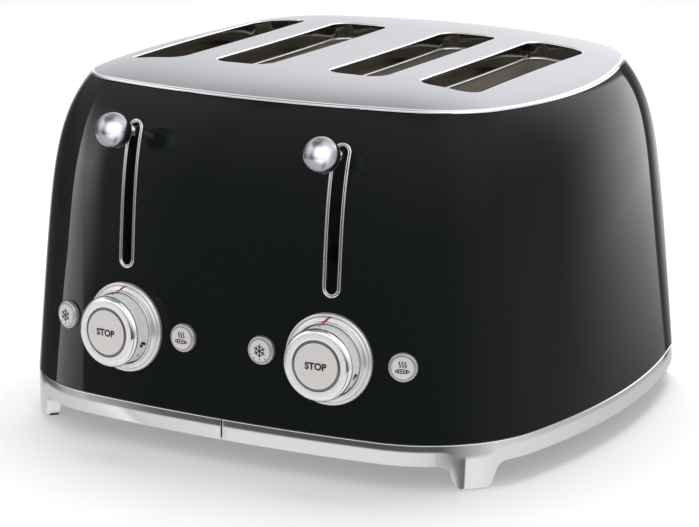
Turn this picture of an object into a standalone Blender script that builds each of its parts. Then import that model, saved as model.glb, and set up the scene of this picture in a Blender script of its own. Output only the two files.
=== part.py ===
"""Four-slot toaster with two levers, two browning knobs and two crumb trays.

Lengths are metres and +Z is up. X runs along the toaster, and the front, with its levers and
knobs, faces -Y. The body's plan centre is the empty body_centre, which all pieces hang from.
The origin is on the table, at the middle of the whole toaster's footprint.
"""

import math

import bmesh
import bpy
from mathutils import Euler, Matrix, Vector

# Construction
FIT = 0.0003
OVERLAP = 0.0005
OVERRUN = 0.010
MERGE = 0.00001
NORMAL_STEP = 0.0005
HEIGHT_STEPS = 6
SEARCH_STEPS = 40
SMOOTH_ANGLE = math.radians(35)

# Body outline: three arcs a quarter, at the foot of the shell and at the top of its shoulder
BODY_HALF_LENGTH = 0.170
BODY_HALF_DEPTH = 0.1581
SIDE_LEAN = 0.0134
FRONT_LEAN = 0.0098
SIDE_SHOULDER = 0.0160
FRONT_SHOULDER = 0.0154
SHOULDER_POWER = 8
FRONT_RADIUS_LOW = 0.834
FRONT_RADIUS_TOP = 0.314
SIDE_RADIUS_LOW = 0.390
SIDE_RADIUS_TOP = 0.286
CORNER_RADIUS_LOW = 0.0765
CORNER_RADIUS_TOP = 0.054
SHOULDER_RISE = 0.0004
EDGE_ARCH = 0.0052
SHELL_WALL = 0.0012
SHELL_COUNTS = (4, 7, 4)
SHELL_LEVEL_SHARES = (0.0, 0.27, 0.50, 0.66, 0.77, 0.85, 0.91, 0.96, 1.0)

# Top panel: rolled edge, crown and turned-down slot collars
PANEL_EDGE_Z = 0.1940
PANEL_SEAM = 0.0004
PANEL_WALL = 0.0012
PANEL_RIM = 0.0010
CROWN_RISE = 0.0114
CROWN_POWER = 5.1
PANEL_RING_SHARES = (0.99, 0.955, 0.90, 0.81, 0.66, 0.42, 0.10)
SLOT_WIDTH = 0.0355
SLOT_FRONT_MARGIN = 0.0094
SLOT_REAR_MARGIN = 0.0086
SLOT_CORNER = 0.010
SLOT_CORNER_STEPS = 4
SLOT_END_ROOM = 0.0311
INNER_SLOT_SHARE = 0.392
COLLAR_WALL = 0.0010
COLLAR_TRIM = 0.0020
COLLAR_DROP = 0.0065

# Gasket under the panel's edge
GASKET_CLEARANCE = 0.0008
GASKET_WIDTH = 0.0030
GASKET_DROP = 0.0070

# Base skirt with its feet, base plate and pads
BAND_LOW_Z = 0.0141
BAND_HEIGHT = 0.0121
BAND_SEAM = 0.0004
BAND_WALL = 0.0030
FOOT_ARC = 0.0544
FOOT_HALF_FLAT = 0.0070
FOOT_BOTTOM_Z = 0.0008
FOOT_TOE_RADIUS = 0.0035
FOOT_HEEL_RADIUS = 0.0075
FOOT_SPREAD = 0.0197
FOOT_SIDE_LEAN = math.radians(20)
FOOT_ARC_STEPS = 3
FOOT_DEPTH = 0.0090
FOOT_TOP_HALF = 0.0120
FOOT_BLOCK_STEPS = 4
PAD_HEIGHT = 0.0019
PAD_MARGIN = 0.0004
SKIRT_COUNTS = (4, 4, 2, 4)
BASE_PLATE_WALL = 0.0020
BASE_PLATE_RISE = 0.0005
VENT_LENGTH = 0.0400
VENT_WIDTH = 0.0040
VENT_PITCH = 0.0120
VENT_ROWS = 3
VENT_ROOM = 0.0581

# Crumb trays
TRAY_END_ROOM = 0.0460
TRAY_MIDDLE_GAP = 0.0008
TRAY_WALL = 0.0008
TRAY_DEPTH = 0.0080
TRAY_REAR_MARGIN = 0.0020
TRAY_TOP_GAP = 0.0026
TRAY_SIDE_MARGIN = 0.0010

# Toasting chamber: bulkheads, shelf, flange, shields, heaters and bread guides
CHAMBER_FRONT_ROOM = 0.0791
CHAMBER_REAR_ROOM = 0.0841
BULKHEAD_WALL = 0.0010
BULKHEAD_OVERHANG = 0.0040
CHAMBER_DROP = 0.0090
SHELF_DEPTH = 0.0320
SHELF_WALL = 0.0015
SHELF_END_ROOM = 0.0390
SHIELD_WALL = 0.0008
HEATER_WALL = 0.0010
HEATER_FOOT_RISE = 0.0125
HEATER_TOP_DROP = 0.0050
HEATER_STANDOFF = 0.0242
GUIDE_WALL = 0.0008
GUIDE_MARGIN = 0.0004
GUIDE_FOOT_RISE = 0.0015
GUIDE_COLLAR_GAP = 0.0009
GUIDE_BARS = 5
GUIDE_BAR_WIDTH = 0.0050
GUIDE_RAIL = 0.0060

# Lift: guide rod, spring, carriage, racks, magnet
LEVER_PLAY = 0.0031
ROD_STANDOFF = 0.0210
ROD_RADIUS = 0.0030
ROD_SIDES = 12
SLEEVE_WALL = 0.0027
SPRING_ROOM = 0.0175
WEB_WIDTH = 0.0060
CROSSBAR_WALL = 0.0020
CROSSBAR_GAP = 0.0076
CROSSBAR_DROP = 0.0070
RACK_BAR_HEIGHT = 0.0080
RACK_BAR_WALL = 0.0024
RACK_REACH = 0.0060
RACK_SLOT_CLEARANCE = 0.0013
RACK_WIRE_RADIUS = 0.0012
RACK_WIRE_LENGTH = 0.0260
RACK_WIRES = 5
RACK_WIRE_SIDES = 6
SPRING_WIRE_RADIUS = 0.0006
SPRING_GAP = 0.0010
SPRING_TURNS = 8
SPRING_TURN_STEPS = 8
TAB_REACH = 0.0200
TAB_DEPTH = 0.0100
TAB_WALL = 0.0020
TAB_RISE = 0.0120
MAGNET_SIZE = 0.0120
MAGNET_COIL_GROWTH = 0.0010
MAGNET_COIL_SHARE = 0.7

# Lever ball and arm
BALL_RADIUS = 0.0100
BALL_REACH = 0.0022
BALL_DROP = 0.0139
BALL_STEPS = 9
BALL_SIDES = 18
STEM_RADIUS = 0.0025
STEM_LENGTH = 0.0180
STEM_TILT = math.radians(9.2)
ARM_DROP = 0.0039
ARM_WALL = 0.0030
ARM_HEIGHT = 0.0042

# Lever slot bezel
BEZEL_OPENING = 0.0065
BEZEL_FLANGE = 0.0020
BEZEL_SLEEVE = 0.0009
BEZEL_PROUD = 0.0008
BEZEL_EDGE = 0.0003
BEZEL_DEPTH = 0.0022
BEZEL_DROP = 0.0115
BEZEL_CONTROL_GAP = 0.0085
BEZEL_SIDE_SHARES = (0.0, 0.3, 0.55, 0.75, 0.9)
BEZEL_END_STEPS = 6

# Controls: places along the front and the tilt of their axes
CONTROL_Z = 0.0680
CONTROL_TILT = math.radians(2)
BUTTON_GAP = 0.0092
INNER_BUTTON_SHARE = 0.689
CONTROL_SIDES = 22

# Knob collar
COLLAR_WIDTH = 0.0042
COLLAR_STAND = 0.0036
COLLAR_STEP_SHARES = ((0.216, 1.0), (0.33, 0.78), (0.65, 0.67), (0.91, 0.53), (1.0, 0.33))
COLLAR_ROOT = 0.0030
COLLAR_TUBE_WALL = 0.0013

# Browning knob
KNOB_RADIUS = 0.0199
KNOB_STAND = 0.0140
KNOB_BAND_INSET = 0.0003
KNOB_BAND_TOP_SHARE = 0.743
KNOB_BACK = 0.0020
KNOB_WALL = 0.0015
KNOB_HUB_WALL = 0.0028
KNOB_HUB_LENGTH = 0.0037
KNOB_FRONT_SHARES = ((0.18, 0.975), (0.51, 1.0), (0.84, 0.955), (1.0, 0.87), (1.0, 0.76))
KNOB_MOUTH_DROP = 0.0010

# Stop button inside the knob
STOP_INSET = 0.0060
STOP_PROUD = 0.0006
STOP_HEIGHT = 0.0036
STOP_EDGE = 0.0006
STOP_TRAVEL = 0.0020
STOP_STEM_RADIUS = 0.0026

# Browning switch behind the knob
SWITCH_SHAFT_RADIUS = 0.0049
SWITCH_SHAFT_TOP = 0.0010
SWITCH_BODY_RADIUS = 0.0110
SWITCH_BODY_LENGTH = 0.0081
SWITCH_SIDES = 14

# Control board
BOARD_WALL = 0.0016
BOARD_MARGIN = 0.0070
BOARD_HEIGHT = 0.0360
BOARD_SWITCH_SIZE = 0.0050
BOARD_SWITCH_HEIGHT = 0.0008

# Defrost and reheat buttons
BUTTON_RADIUS = 0.0079
BUTTON_PROUD = 0.0030
BUTTON_FACE_SHARES = ((0.0, 1.0), (0.885, 1.0), (0.95, 0.87), (1.0, 0.6))
BUTTON_FLANGE_WIDTH = 0.0014
BUTTON_FLANGE_WALL = 0.0010
BUTTON_FLANGE_GAP = 0.0015
BUTTON_STEM_RADIUS = 0.0022
BUTTON_TRAVEL = 0.0015
BUTTON_SIDES = 18

# Rear: cable gland
GLAND_X = 0.0600
GLAND_Z = 0.0480
GLAND_SHANK_RADIUS = 0.0056
GLAND_FLANGE_RADIUS = 0.0085
GLAND_FLANGE_WALL = 0.0015
GLAND_REACH = 0.0090
GLAND_TIP_RADIUS = 0.0044
GLAND_ROOT = 0.0060
GLAND_RECESS_RADIUS = 0.0030
GLAND_RECESS = 0.0015
GLAND_SIDES = 16

SIDES = (("left", -1), ("right", 1))
PART_COLLECTION = "four_slot_toaster"
TOOL_COLLECTION = "cutters"

# Finishes: colour, metallic, roughness
GLOSS_BLACK = ((0.006, 0.008, 0.008, 1.0), 0.0, 0.08)
BRUSHED_STEEL = ((0.60, 0.60, 0.64, 1.0), 1.0, 0.30)
CHROME = ((0.85, 0.85, 0.86, 1.0), 1.0, 0.06)
SATIN_SILVER = ((0.70, 0.70, 0.70, 1.0), 0.9, 0.28)
SATIN_BUTTON = ((0.62, 0.60, 0.59, 1.0), 0.6, 0.35)
PLAIN_STEEL = ((0.45, 0.45, 0.46, 1.0), 1.0, 0.40)
RUBBER_BLACK = ((0.015, 0.015, 0.015, 1.0), 0.0, 0.80)
BASE_BLACK = ((0.03, 0.03, 0.03, 1.0), 0.0, 0.60)
MICA = ((0.55, 0.42, 0.25, 1.0), 0.0, 0.70)
BOARD_GREEN = ((0.02, 0.12, 0.05, 1.0), 0.0, 0.50)
COIL_COPPER = ((0.50, 0.22, 0.10, 1.0), 0.8, 0.40)

# Heights of the body and the chamber
SHELL_FOOT_Z = BAND_LOW_Z + BAND_HEIGHT
SHELL_TOP_Z = PANEL_EDGE_Z - PANEL_SEAM
SHOULDER_TOP_Z = PANEL_EDGE_Z + SHOULDER_RISE
COLLAR_FOOT_Z = PANEL_EDGE_Z - COLLAR_DROP
GASKET_INSET = SHELL_WALL + GASKET_CLEARANCE
GASKET_FOOT_Z = PANEL_EDGE_Z - GASKET_DROP
BAND_TOP_Z = SHELL_FOOT_Z - BAND_SEAM
BASE_PLATE_Z = BAND_LOW_Z + BASE_PLATE_RISE
BASE_PLATE_TOP_Z = BASE_PLATE_Z + BASE_PLATE_WALL
TRAY_FOOT_Z = BASE_PLATE_TOP_Z + FIT
CHAMBER_FOOT_Z = TRAY_FOOT_Z + TRAY_DEPTH + TRAY_TOP_GAP
CHAMBER_TOP_Z = PANEL_EDGE_Z - CHAMBER_DROP
SHELF_TOP_Z = CHAMBER_FOOT_Z + OVERLAP + SHELF_WALL
FLANGE_FOOT_Z = CHAMBER_TOP_Z - OVERLAP
HEATER_FOOT_Z = CHAMBER_FOOT_Z + HEATER_FOOT_RISE
HEATER_TOP_Z = CHAMBER_TOP_Z - HEATER_TOP_DROP
GUIDE_FOOT_Z = CHAMBER_FOOT_Z + GUIDE_FOOT_RISE
GUIDE_TOP_Z = COLLAR_FOOT_Z - GUIDE_COLLAR_GAP

# Plan of the chamber, slots, trays and vents
CHAMBER_FRONT_Y = CHAMBER_FRONT_ROOM - BODY_HALF_DEPTH
CHAMBER_REAR_Y = BODY_HALF_DEPTH - CHAMBER_REAR_ROOM
SLOT_FRONT_Y = CHAMBER_FRONT_Y + SLOT_FRONT_MARGIN
SLOT_REAR_Y = CHAMBER_REAR_Y - SLOT_REAR_MARGIN
TRAY_SEAM_X = BODY_HALF_LENGTH - TRAY_END_ROOM
TRAY_REAR_Y = CHAMBER_REAR_Y - TRAY_REAR_MARGIN
BULKHEAD_HALF_WIDTH = TRAY_SEAM_X + BULKHEAD_OVERHANG
SHELF_HALF_WIDTH = TRAY_SEAM_X - SHELF_END_ROOM
OUTER_SLOT_X = TRAY_SEAM_X - SLOT_END_ROOM
INNER_SLOT_X = OUTER_SLOT_X * INNER_SLOT_SHARE
VENT_X = TRAY_SEAM_X / 2
VENT_Y = BODY_HALF_DEPTH - VENT_ROOM
SLOTS = (
    ("left_outer", -OUTER_SLOT_X),
    ("left_inner", -INNER_SLOT_X),
    ("right_inner", INNER_SLOT_X),
    ("right_outer", OUTER_SLOT_X),
)

# Knobs and buttons
COLLAR_BORE = KNOB_RADIUS + FIT
COLLAR_RADIUS = COLLAR_BORE + COLLAR_WIDTH
COLLAR_TUBE_RADIUS = COLLAR_BORE + COLLAR_TUBE_WALL
KNOB_BAND_RADIUS = KNOB_RADIUS - KNOB_BAND_INSET
KNOB_BAND_TOP = KNOB_STAND * KNOB_BAND_TOP_SHARE
STOP_RADIUS = KNOB_RADIUS - STOP_INSET
STOP_TOP = KNOB_STAND + STOP_PROUD
SWITCH_BODY_TOP = KNOB_BACK + KNOB_HUB_LENGTH + FIT
BOARD_FACE = SWITCH_BODY_TOP + SWITCH_BODY_LENGTH + FIT
BUTTON_FLANGE_RADIUS = BUTTON_RADIUS + BUTTON_FLANGE_WIDTH
LEVER_X = (INNER_SLOT_X + OUTER_SLOT_X) / 2
KNOB_X = LEVER_X
OUTER_BUTTON_X = KNOB_X + COLLAR_RADIUS + BUTTON_GAP + BUTTON_RADIUS
INNER_BUTTON_ROOM = KNOB_X - COLLAR_RADIUS - BUTTON_RADIUS * 2
INNER_BUTTON_X = BUTTON_RADIUS + INNER_BUTTON_ROOM * INNER_BUTTON_SHARE

# Lever slots and lifts
BEZEL_TOP_Z = PANEL_EDGE_Z - BEZEL_DROP
BEZEL_LOW_Z = CONTROL_Z + COLLAR_RADIUS + BEZEL_CONTROL_GAP
LEVER_TRAVEL = BEZEL_TOP_Z - BEZEL_LOW_Z - BEZEL_FLANGE * 2 - BEZEL_OPENING - LEVER_PLAY
BALL_Y = -BODY_HALF_DEPTH - BALL_REACH
BALL_Z = PANEL_EDGE_Z - BALL_DROP
ARM_Z = BALL_Z - ARM_DROP
ROD_Y = CHAMBER_FRONT_Y - ROD_STANDOFF
ROD_FOOT_Z = SHELF_TOP_Z + FIT
ROD_TOP_Z = FLANGE_FOOT_Z - FIT
SLEEVE_RADIUS = ROD_RADIUS + FIT + SLEEVE_WALL
SLEEVE_FOOT_Z = SHELF_TOP_Z + LEVER_TRAVEL + SPRING_ROOM
SPRING_MEAN_RADIUS = ROD_RADIUS + SPRING_GAP + SPRING_WIRE_RADIUS
SPRING_FOOT_Z = SHELF_TOP_Z + FIT
SPRING_TOP_Z = SLEEVE_FOOT_Z - FIT
CROSSBAR_Z = SLEEVE_FOOT_Z - CROSSBAR_DROP
CROSSBAR_BACK_Y = CHAMBER_FRONT_Y - BULKHEAD_WALL - CROSSBAR_GAP - CROSSBAR_WALL
CROSSBAR_FACE_Y = CROSSBAR_BACK_Y + CROSSBAR_WALL
RACK_FRONT_Y = CROSSBAR_FACE_Y + FIT
RACK_REAR_Y = CHAMBER_REAR_Y + BULKHEAD_WALL + RACK_REACH
TAB_FOOT_Z = SLEEVE_FOOT_Z + TAB_RISE - TAB_WALL / 2
MAGNET_TOP_Z = TAB_FOOT_Z - LEVER_TRAVEL - FIT
STEM_END_Y = BALL_Y + STEM_LENGTH * math.cos(STEM_TILT)
ARM_FRONT_Y = STEM_END_Y + STEM_RADIUS * math.sin(STEM_TILT) + FIT

# Footprint's middle
GLAND_TIP_Y = BODY_HALF_DEPTH + GLAND_REACH
FRONT_TIP_Y = BALL_Y - BALL_RADIUS
BODY_CENTRE_Y = -(FRONT_TIP_Y + GLAND_TIP_Y) / 2


def body_plan(z):
    """Half length, half depth and the front, side and corner radii of the outline at height z."""
    rise = (z - SHELL_FOOT_Z) / (SHOULDER_TOP_Z - SHELL_FOOT_Z)
    rise = min(max(rise, 0.0), 1.0)
    bend = rise**SHOULDER_POWER
    return (
        BODY_HALF_LENGTH - SIDE_LEAN * rise - SIDE_SHOULDER * bend,
        BODY_HALF_DEPTH - FRONT_LEAN * rise - FRONT_SHOULDER * bend,
        FRONT_RADIUS_LOW + (FRONT_RADIUS_TOP - FRONT_RADIUS_LOW) * rise,
        SIDE_RADIUS_LOW + (SIDE_RADIUS_TOP - SIDE_RADIUS_LOW) * rise,
        CORNER_RADIUS_LOW + (CORNER_RADIUS_TOP - CORNER_RADIUS_LOW) * rise,
    )


def quarter_arcs(z, inset=0.0):
    """The front, corner and side arc of one quarter: centre, radius, first and last angle."""
    half_length, half_depth, front_radius, side_radius, corner_radius = body_plan(z)
    front_centre = Vector((0.0, front_radius - half_depth))
    side_centre = Vector((half_length - side_radius, 0.0))
    to_side = side_centre - front_centre
    span = to_side.length
    from_front = front_radius - corner_radius
    from_side = side_radius - corner_radius
    along = (from_front**2 - from_side**2 + span**2) / (2 * span)
    across = math.sqrt(max(from_front**2 - along**2, 0.0))
    unit = to_side / span
    corner_centre = front_centre + unit * along + Vector((-unit.y, unit.x)) * across
    to_corner = corner_centre - front_centre
    front_end = math.atan2(to_corner.y, to_corner.x)
    to_corner = corner_centre - side_centre
    side_start = math.atan2(to_corner.y, to_corner.x)
    return (
        (front_centre, front_radius - inset, -math.pi / 2, front_end),
        (corner_centre, corner_radius - inset, front_end, side_start),
        (side_centre, side_radius - inset, side_start, 0.0),
    )


def on_arc(arc, angle):
    """The point of an arc at an angle."""
    centre, radius = arc[0], arc[1]
    return (centre.x + radius * math.cos(angle), centre.y + radius * math.sin(angle))


def arc_points(arc, count):
    """Points along an arc from its first angle, without its last one."""
    first, last = arc[2], arc[3]
    return [on_arc(arc, first + (last - first) * i / count) for i in range(count)]


def full_ring(quarter):
    """Four mirrored quarters as one ring, from the front centre round by the right side."""
    flip_y = [(p[0], -p[1], *p[2:]) for p in quarter]
    flip_x = [(-p[0], p[1], *p[2:]) for p in quarter]
    flip_both = [(-p[0], -p[1], *p[2:]) for p in quarter]
    return quarter[:-1] + flip_y[:0:-1] + flip_both[:-1] + flip_x[:0:-1]


def outline(z, inset=0.0, counts=SHELL_COUNTS):
    """The body's closed outline at height z, moved inward by inset."""
    arcs = quarter_arcs(z, inset)
    quarter = []
    for arc, count in zip(arcs, counts):
        quarter += arc_points(arc, count)
    quarter.append(on_arc(arcs[-1], arcs[-1][3]))
    return full_ring(quarter)


def arch(z, y, share=1.0):
    """How far the body's edge at height z lifts towards the front and rear centre."""
    rise = (z - SHELL_FOOT_Z) / (SHOULDER_TOP_Z - SHELL_FOOT_Z)
    rise = min(max(rise, 0.0), 1.0)
    half_depth = body_plan(z)[1]
    return EDGE_ARCH * share * rise**3 * (y / half_depth) ** 2


def body_ring(z, inset=0.0):
    """The outline at height z with the arch of the upper edge in its heights."""
    return [(x, y, z + arch(z, y)) for x, y in outline(z, inset)]


def front_y(x, z, inset=0.0):
    """Depth of the front face at x on the outline of height z."""
    reach = abs(x)
    for centre, radius, _, last in quarter_arcs(z, inset):
        if reach <= centre.x + radius * math.cos(last):
            break
    return centre.y - math.sqrt(max(radius**2 - (reach - centre.x) ** 2, 0.0))


def front_point(x, z):
    """The point of the arched front face at x and true height z."""
    level = z
    for _ in range(HEIGHT_STEPS):
        level = z - arch(level, front_y(x, level))
    return Vector((x, front_y(x, level), z))


def front_normal(x, z):
    """Outward unit normal of the front face at x and height z."""
    across = front_point(x + NORMAL_STEP, z).y - front_point(x - NORMAL_STEP, z).y
    upward = front_point(x, z + NORMAL_STEP).y - front_point(x, z - NORMAL_STEP).y
    span = NORMAL_STEP * 2
    return Vector((across / span, -1.0, upward / span)).normalized()


def panel_scale(x, y):
    """Share of the panel's outline on which a point of the panel lies."""
    half_length = body_plan(PANEL_EDGE_Z)[0]
    low, high = 0.0, 1.0
    for _ in range(SEARCH_STEPS):
        middle = (low + high) / 2
        if abs(x) < half_length * middle and abs(y) < -middle * front_y(
            abs(x) / middle, PANEL_EDGE_Z
        ):
            high = middle
        else:
            low = middle
    return high


def panel_height(x, y, scale=None):
    """Height of the panel's outer face over a point of the plan."""
    share = panel_scale(x, y) if scale is None else scale
    crown = CROWN_RISE * (1.0 - share**CROWN_POWER)
    return PANEL_EDGE_Z + PANEL_RIM + crown + arch(PANEL_EDGE_Z, y, share)


def rounded_rectangle(half_x, half_y, radius, steps):
    """A closed outline round the origin, from its lower right corner."""
    points = []
    for turn, (sign_x, sign_y) in enumerate(((1, -1), (1, 1), (-1, 1), (-1, -1))):
        for i in range(steps + 1):
            angle = math.pi / 2 * (turn - 1 + i / steps)
            points.append(
                (
                    sign_x * (half_x - radius) + radius * math.cos(angle),
                    sign_y * (half_y - radius) + radius * math.sin(angle),
                )
            )
    return points


def clear_scene():
    """Remove every object of the scene."""
    for thing in list(bpy.data.objects):
        bpy.data.objects.remove(thing, do_unlink=True)


def make_collection(name):
    """A collection linked to the scene."""
    collection = bpy.data.collections.new(name)
    bpy.context.scene.collection.children.link(collection)
    return collection


def make_finish(name, finish):
    """A Principled material from a finish."""
    colour, metallic, roughness = finish
    material = bpy.data.materials.new(name + "_finish")
    material.use_nodes = True
    shader = material.node_tree.nodes["Principled BSDF"]
    shader.inputs["Base Color"].default_value = colour
    shader.inputs["Metallic"].default_value = metallic
    shader.inputs["Roughness"].default_value = roughness
    material.diffuse_color = colour
    return material


def make_empty(name, parent, location, rotation=(0.0, 0.0, 0.0)):
    """An empty that carries pieces at an axis."""
    empty = bpy.data.objects.new(name, None)
    bpy.data.collections[PART_COLLECTION].objects.link(empty)
    empty.parent = parent
    empty.location = location
    empty.rotation_euler = rotation
    return empty


def place(thing, parent, location, rotation):
    """Hang an object from its parent."""
    thing.parent = parent
    thing.location = location
    thing.rotation_euler = rotation


def add_part(name, data, finish, parent, location=(0.0, 0.0, 0.0), rotation=(0.0, 0.0, 0.0)):
    """A named piece of the toaster."""
    part = bpy.data.objects.new(name, data)
    data.materials.clear()
    data.materials.append(make_finish(name, finish))
    bpy.data.collections[PART_COLLECTION].objects.link(part)
    place(part, parent, location, rotation)
    return part


def add_tool(name, data, parent, location=(0.0, 0.0, 0.0), rotation=(0.0, 0.0, 0.0)):
    """A hidden shape that cuts or joins a piece."""
    tool = bpy.data.objects.new(name, data)
    tool.hide_render = True
    tool.display_type = "WIRE"
    bpy.data.collections[TOOL_COLLECTION].objects.link(tool)
    place(tool, parent, location, rotation)
    return tool


def boolean(target, tool, operation):
    """Cut a tool from a piece or join it on."""
    modifier = target.modifiers.new(tool.name, "BOOLEAN")
    modifier.operation = operation
    modifier.solver = "EXACT"
    modifier.object = tool


def cut(target, tool):
    """Take a tool's volume from a piece."""
    boolean(target, tool, "DIFFERENCE")


def join(target, tool):
    """Add a tool's volume to a piece."""
    boolean(target, tool, "UNION")


def solidify(target, wall):
    """Give an open surface its wall, inward."""
    modifier = target.modifiers.new("wall", "SOLIDIFY")
    modifier.thickness = wall
    modifier.offset = -1.0
    modifier.use_even_offset = True


def flatten(target):
    """Split a piece's warped faces into flat ones, so that the cuts after it are clean."""
    modifier = target.modifiers.new("flat_faces", "TRIANGULATE")
    modifier.quad_method = "FIXED"


def smooth(mesh):
    """Shade a mesh smooth except over its sharp edges."""
    mesh.shade_smooth()
    mesh.set_sharp_from_angle(angle=SMOOTH_ANGLE)


def loft(name, rings, ends="capped"):
    """A mesh through rings of points: capped, open, or looped from the last to the first."""
    count = len(rings[0])
    points = [point for ring in rings for point in ring]
    last = len(rings) if ends == "looped" else len(rings) - 1
    faces = []
    for level in range(last):
        lower = level * count
        upper = (level + 1) % len(rings) * count
        for i in range(count):
            j = (i + 1) % count
            faces.append((lower + i, lower + j, upper + j, upper + i))
    if ends == "capped":
        faces.append(tuple(range(count))[::-1])
    if ends in ("capped", "topped"):
        faces.append(tuple(range(count * (len(rings) - 1), count * len(rings))))
    mesh = bpy.data.meshes.new(name)
    mesh.from_pydata(points, [], faces)
    smooth(mesh)
    return mesh


def plate(name, points, low, high):
    """A mesh of a flat outline, filled and extruded between two heights."""
    curve = bpy.data.curves.new(name, "CURVE")
    curve.dimensions = "2D"
    curve.fill_mode = "BOTH"
    curve.extrude = (high - low) / 2
    spline = curve.splines.new("POLY")
    spline.points.add(len(points) - 1)
    for corner, point in zip(spline.points, points):
        corner.co = (point[0], point[1], 0.0, 1.0)
    spline.use_cyclic_u = True
    flat = bpy.data.objects.new(name, curve)
    bpy.context.scene.collection.objects.link(flat)
    evaluated = flat.evaluated_get(bpy.context.evaluated_depsgraph_get())
    mesh = bpy.data.meshes.new_from_object(evaluated)
    bpy.data.objects.remove(flat, do_unlink=True)
    body = bmesh.new()
    body.from_mesh(mesh)
    bmesh.ops.remove_doubles(body, verts=body.verts, dist=MERGE)
    bmesh.ops.translate(body, verts=body.verts, vec=(0.0, 0.0, (low + high) / 2))
    body.to_mesh(mesh)
    body.free()
    smooth(mesh)
    return mesh


def box(name, low, high):
    """A box between two corners."""
    low, high = Vector(low), Vector(high)
    mesh = bpy.data.meshes.new(name)
    body = bmesh.new()
    size = high - low
    matrix = Matrix.Translation((low + high) / 2) @ Matrix.Diagonal((*size, 1.0))
    bmesh.ops.create_cube(body, size=1.0, matrix=matrix)
    body.to_mesh(mesh)
    body.free()
    return mesh


def cylinder(name, radius, length, sides, matrix):
    """A capped cylinder centred on a matrix, along its Z."""
    mesh = bpy.data.meshes.new(name)
    body = bmesh.new()
    bmesh.ops.create_cone(
        body,
        cap_ends=True,
        segments=sides,
        radius1=radius,
        radius2=radius,
        depth=length,
        matrix=matrix,
    )
    body.to_mesh(mesh)
    body.free()
    smooth(mesh)
    return mesh


def turned(name, profile, finish, sides, parent, location=(0.0, 0.0, 0.0), rotation=(0.0, 0.0, 0.0)):
    """A turned piece about its Z, from a profile of (radius, height) down its outer side."""
    mesh = bpy.data.meshes.new(name)
    edges = [(i, i + 1) for i in range(len(profile) - 1)]
    if profile[0][0] > 0:
        edges.append((len(profile) - 1, 0))
    mesh.from_pydata([(radius, 0.0, height) for radius, height in profile], edges, [])
    part = add_part(name, mesh, finish, parent, location, rotation)
    screw = part.modifiers.new("turn", "SCREW")
    screw.steps = sides
    screw.render_steps = sides
    screw.use_merge_vertices = True
    screw.merge_threshold = MERGE
    screw.use_smooth_shade = True
    return part


def foot_height(distance):
    """Lower edge of the skirt at a distance from a foot's middle along the outline."""
    toe_reach = FOOT_HALF_FLAT + FOOT_TOE_RADIUS * math.cos(FOOT_SIDE_LEAN)
    toe_z = FOOT_BOTTOM_Z + FOOT_TOE_RADIUS * (1.0 - math.sin(FOOT_SIDE_LEAN))
    heel_reach = FOOT_SPREAD - FOOT_HEEL_RADIUS * math.cos(FOOT_SIDE_LEAN)
    heel_z = BAND_LOW_Z - FOOT_HEEL_RADIUS * (1.0 - math.sin(FOOT_SIDE_LEAN))
    if distance <= FOOT_HALF_FLAT:
        return FOOT_BOTTOM_Z
    if distance <= toe_reach:
        drop = math.sqrt(FOOT_TOE_RADIUS**2 - (distance - FOOT_HALF_FLAT) ** 2)
        return FOOT_BOTTOM_Z + FOOT_TOE_RADIUS - drop
    if distance <= heel_reach:
        share = (distance - toe_reach) / (heel_reach - toe_reach)
        return toe_z + (heel_z - toe_z) * share
    if distance < FOOT_SPREAD:
        lift = math.sqrt(FOOT_HEEL_RADIUS**2 - (FOOT_SPREAD - distance) ** 2)
        return BAND_LOW_Z - FOOT_HEEL_RADIUS + lift
    return BAND_LOW_Z


def foot_distances():
    """Distances from a foot's middle at which the skirt has a column, outward."""
    steps = range(FOOT_ARC_STEPS + 1)
    quarter = math.pi / 2 - FOOT_SIDE_LEAN
    toe = [
        FOOT_HALF_FLAT + FOOT_TOE_RADIUS * math.sin(quarter * i / FOOT_ARC_STEPS)
        for i in steps
    ]
    heel = [
        FOOT_SPREAD - FOOT_HEEL_RADIUS * math.sin(quarter * (1 - i / FOOT_ARC_STEPS))
        for i in steps
    ]
    return toe + heel


def skirt_quarter():
    """One quarter of the skirt: x, y and the lower edge's height."""
    front, corner, side = quarter_arcs(SHELL_FOOT_Z)
    front_count, before_count, after_count, side_count = SKIRT_COUNTS
    middle = corner[2] + FOOT_ARC / CORNER_RADIUS_LOW
    spread = FOOT_SPREAD / CORNER_RADIUS_LOW
    before = (corner[0], corner[1], corner[2], middle - spread)
    after = (corner[0], corner[1], middle + spread, corner[3])
    plain = arc_points(front, front_count) + arc_points(before, before_count)
    columns = [(*point, BAND_LOW_Z) for point in plain]
    distances = foot_distances()
    for offset in [-d for d in reversed(distances)] + [0.0] + distances:
        point = on_arc(corner, middle + offset / CORNER_RADIUS_LOW)
        columns.append((*point, foot_height(abs(offset))))
    plain = arc_points(after, after_count)[1:] + arc_points(side, side_count)
    columns += [(*point, BAND_LOW_Z) for point in plain]
    columns.append((*on_arc(side, 0.0), BAND_LOW_Z))
    return columns


def foot_sector(half_span, outer_inset, inner_inset):
    """Outline of the right front foot between two insets, over a half span along the arc."""
    corner = quarter_arcs(SHELL_FOOT_Z)[1]
    middle = corner[2] + FOOT_ARC / CORNER_RADIUS_LOW
    half_angle = half_span / CORNER_RADIUS_LOW
    angles = [
        middle + half_angle * (2 * i / FOOT_BLOCK_STEPS - 1)
        for i in range(FOOT_BLOCK_STEPS + 1)
    ]
    outer = quarter_arcs(SHELL_FOOT_Z, outer_inset)[1]
    inner = quarter_arcs(SHELL_FOOT_Z, inner_inset)[1]
    return [on_arc(outer, a) for a in angles] + [on_arc(inner, a) for a in reversed(angles)]


def mirrored(points, sign_x, sign_y):
    """Points carried into another quarter, still anticlockwise."""
    moved = [(p[0] * sign_x, p[1] * sign_y, *p[2:]) for p in points]
    return moved if sign_x * sign_y > 0 else moved[::-1]


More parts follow.
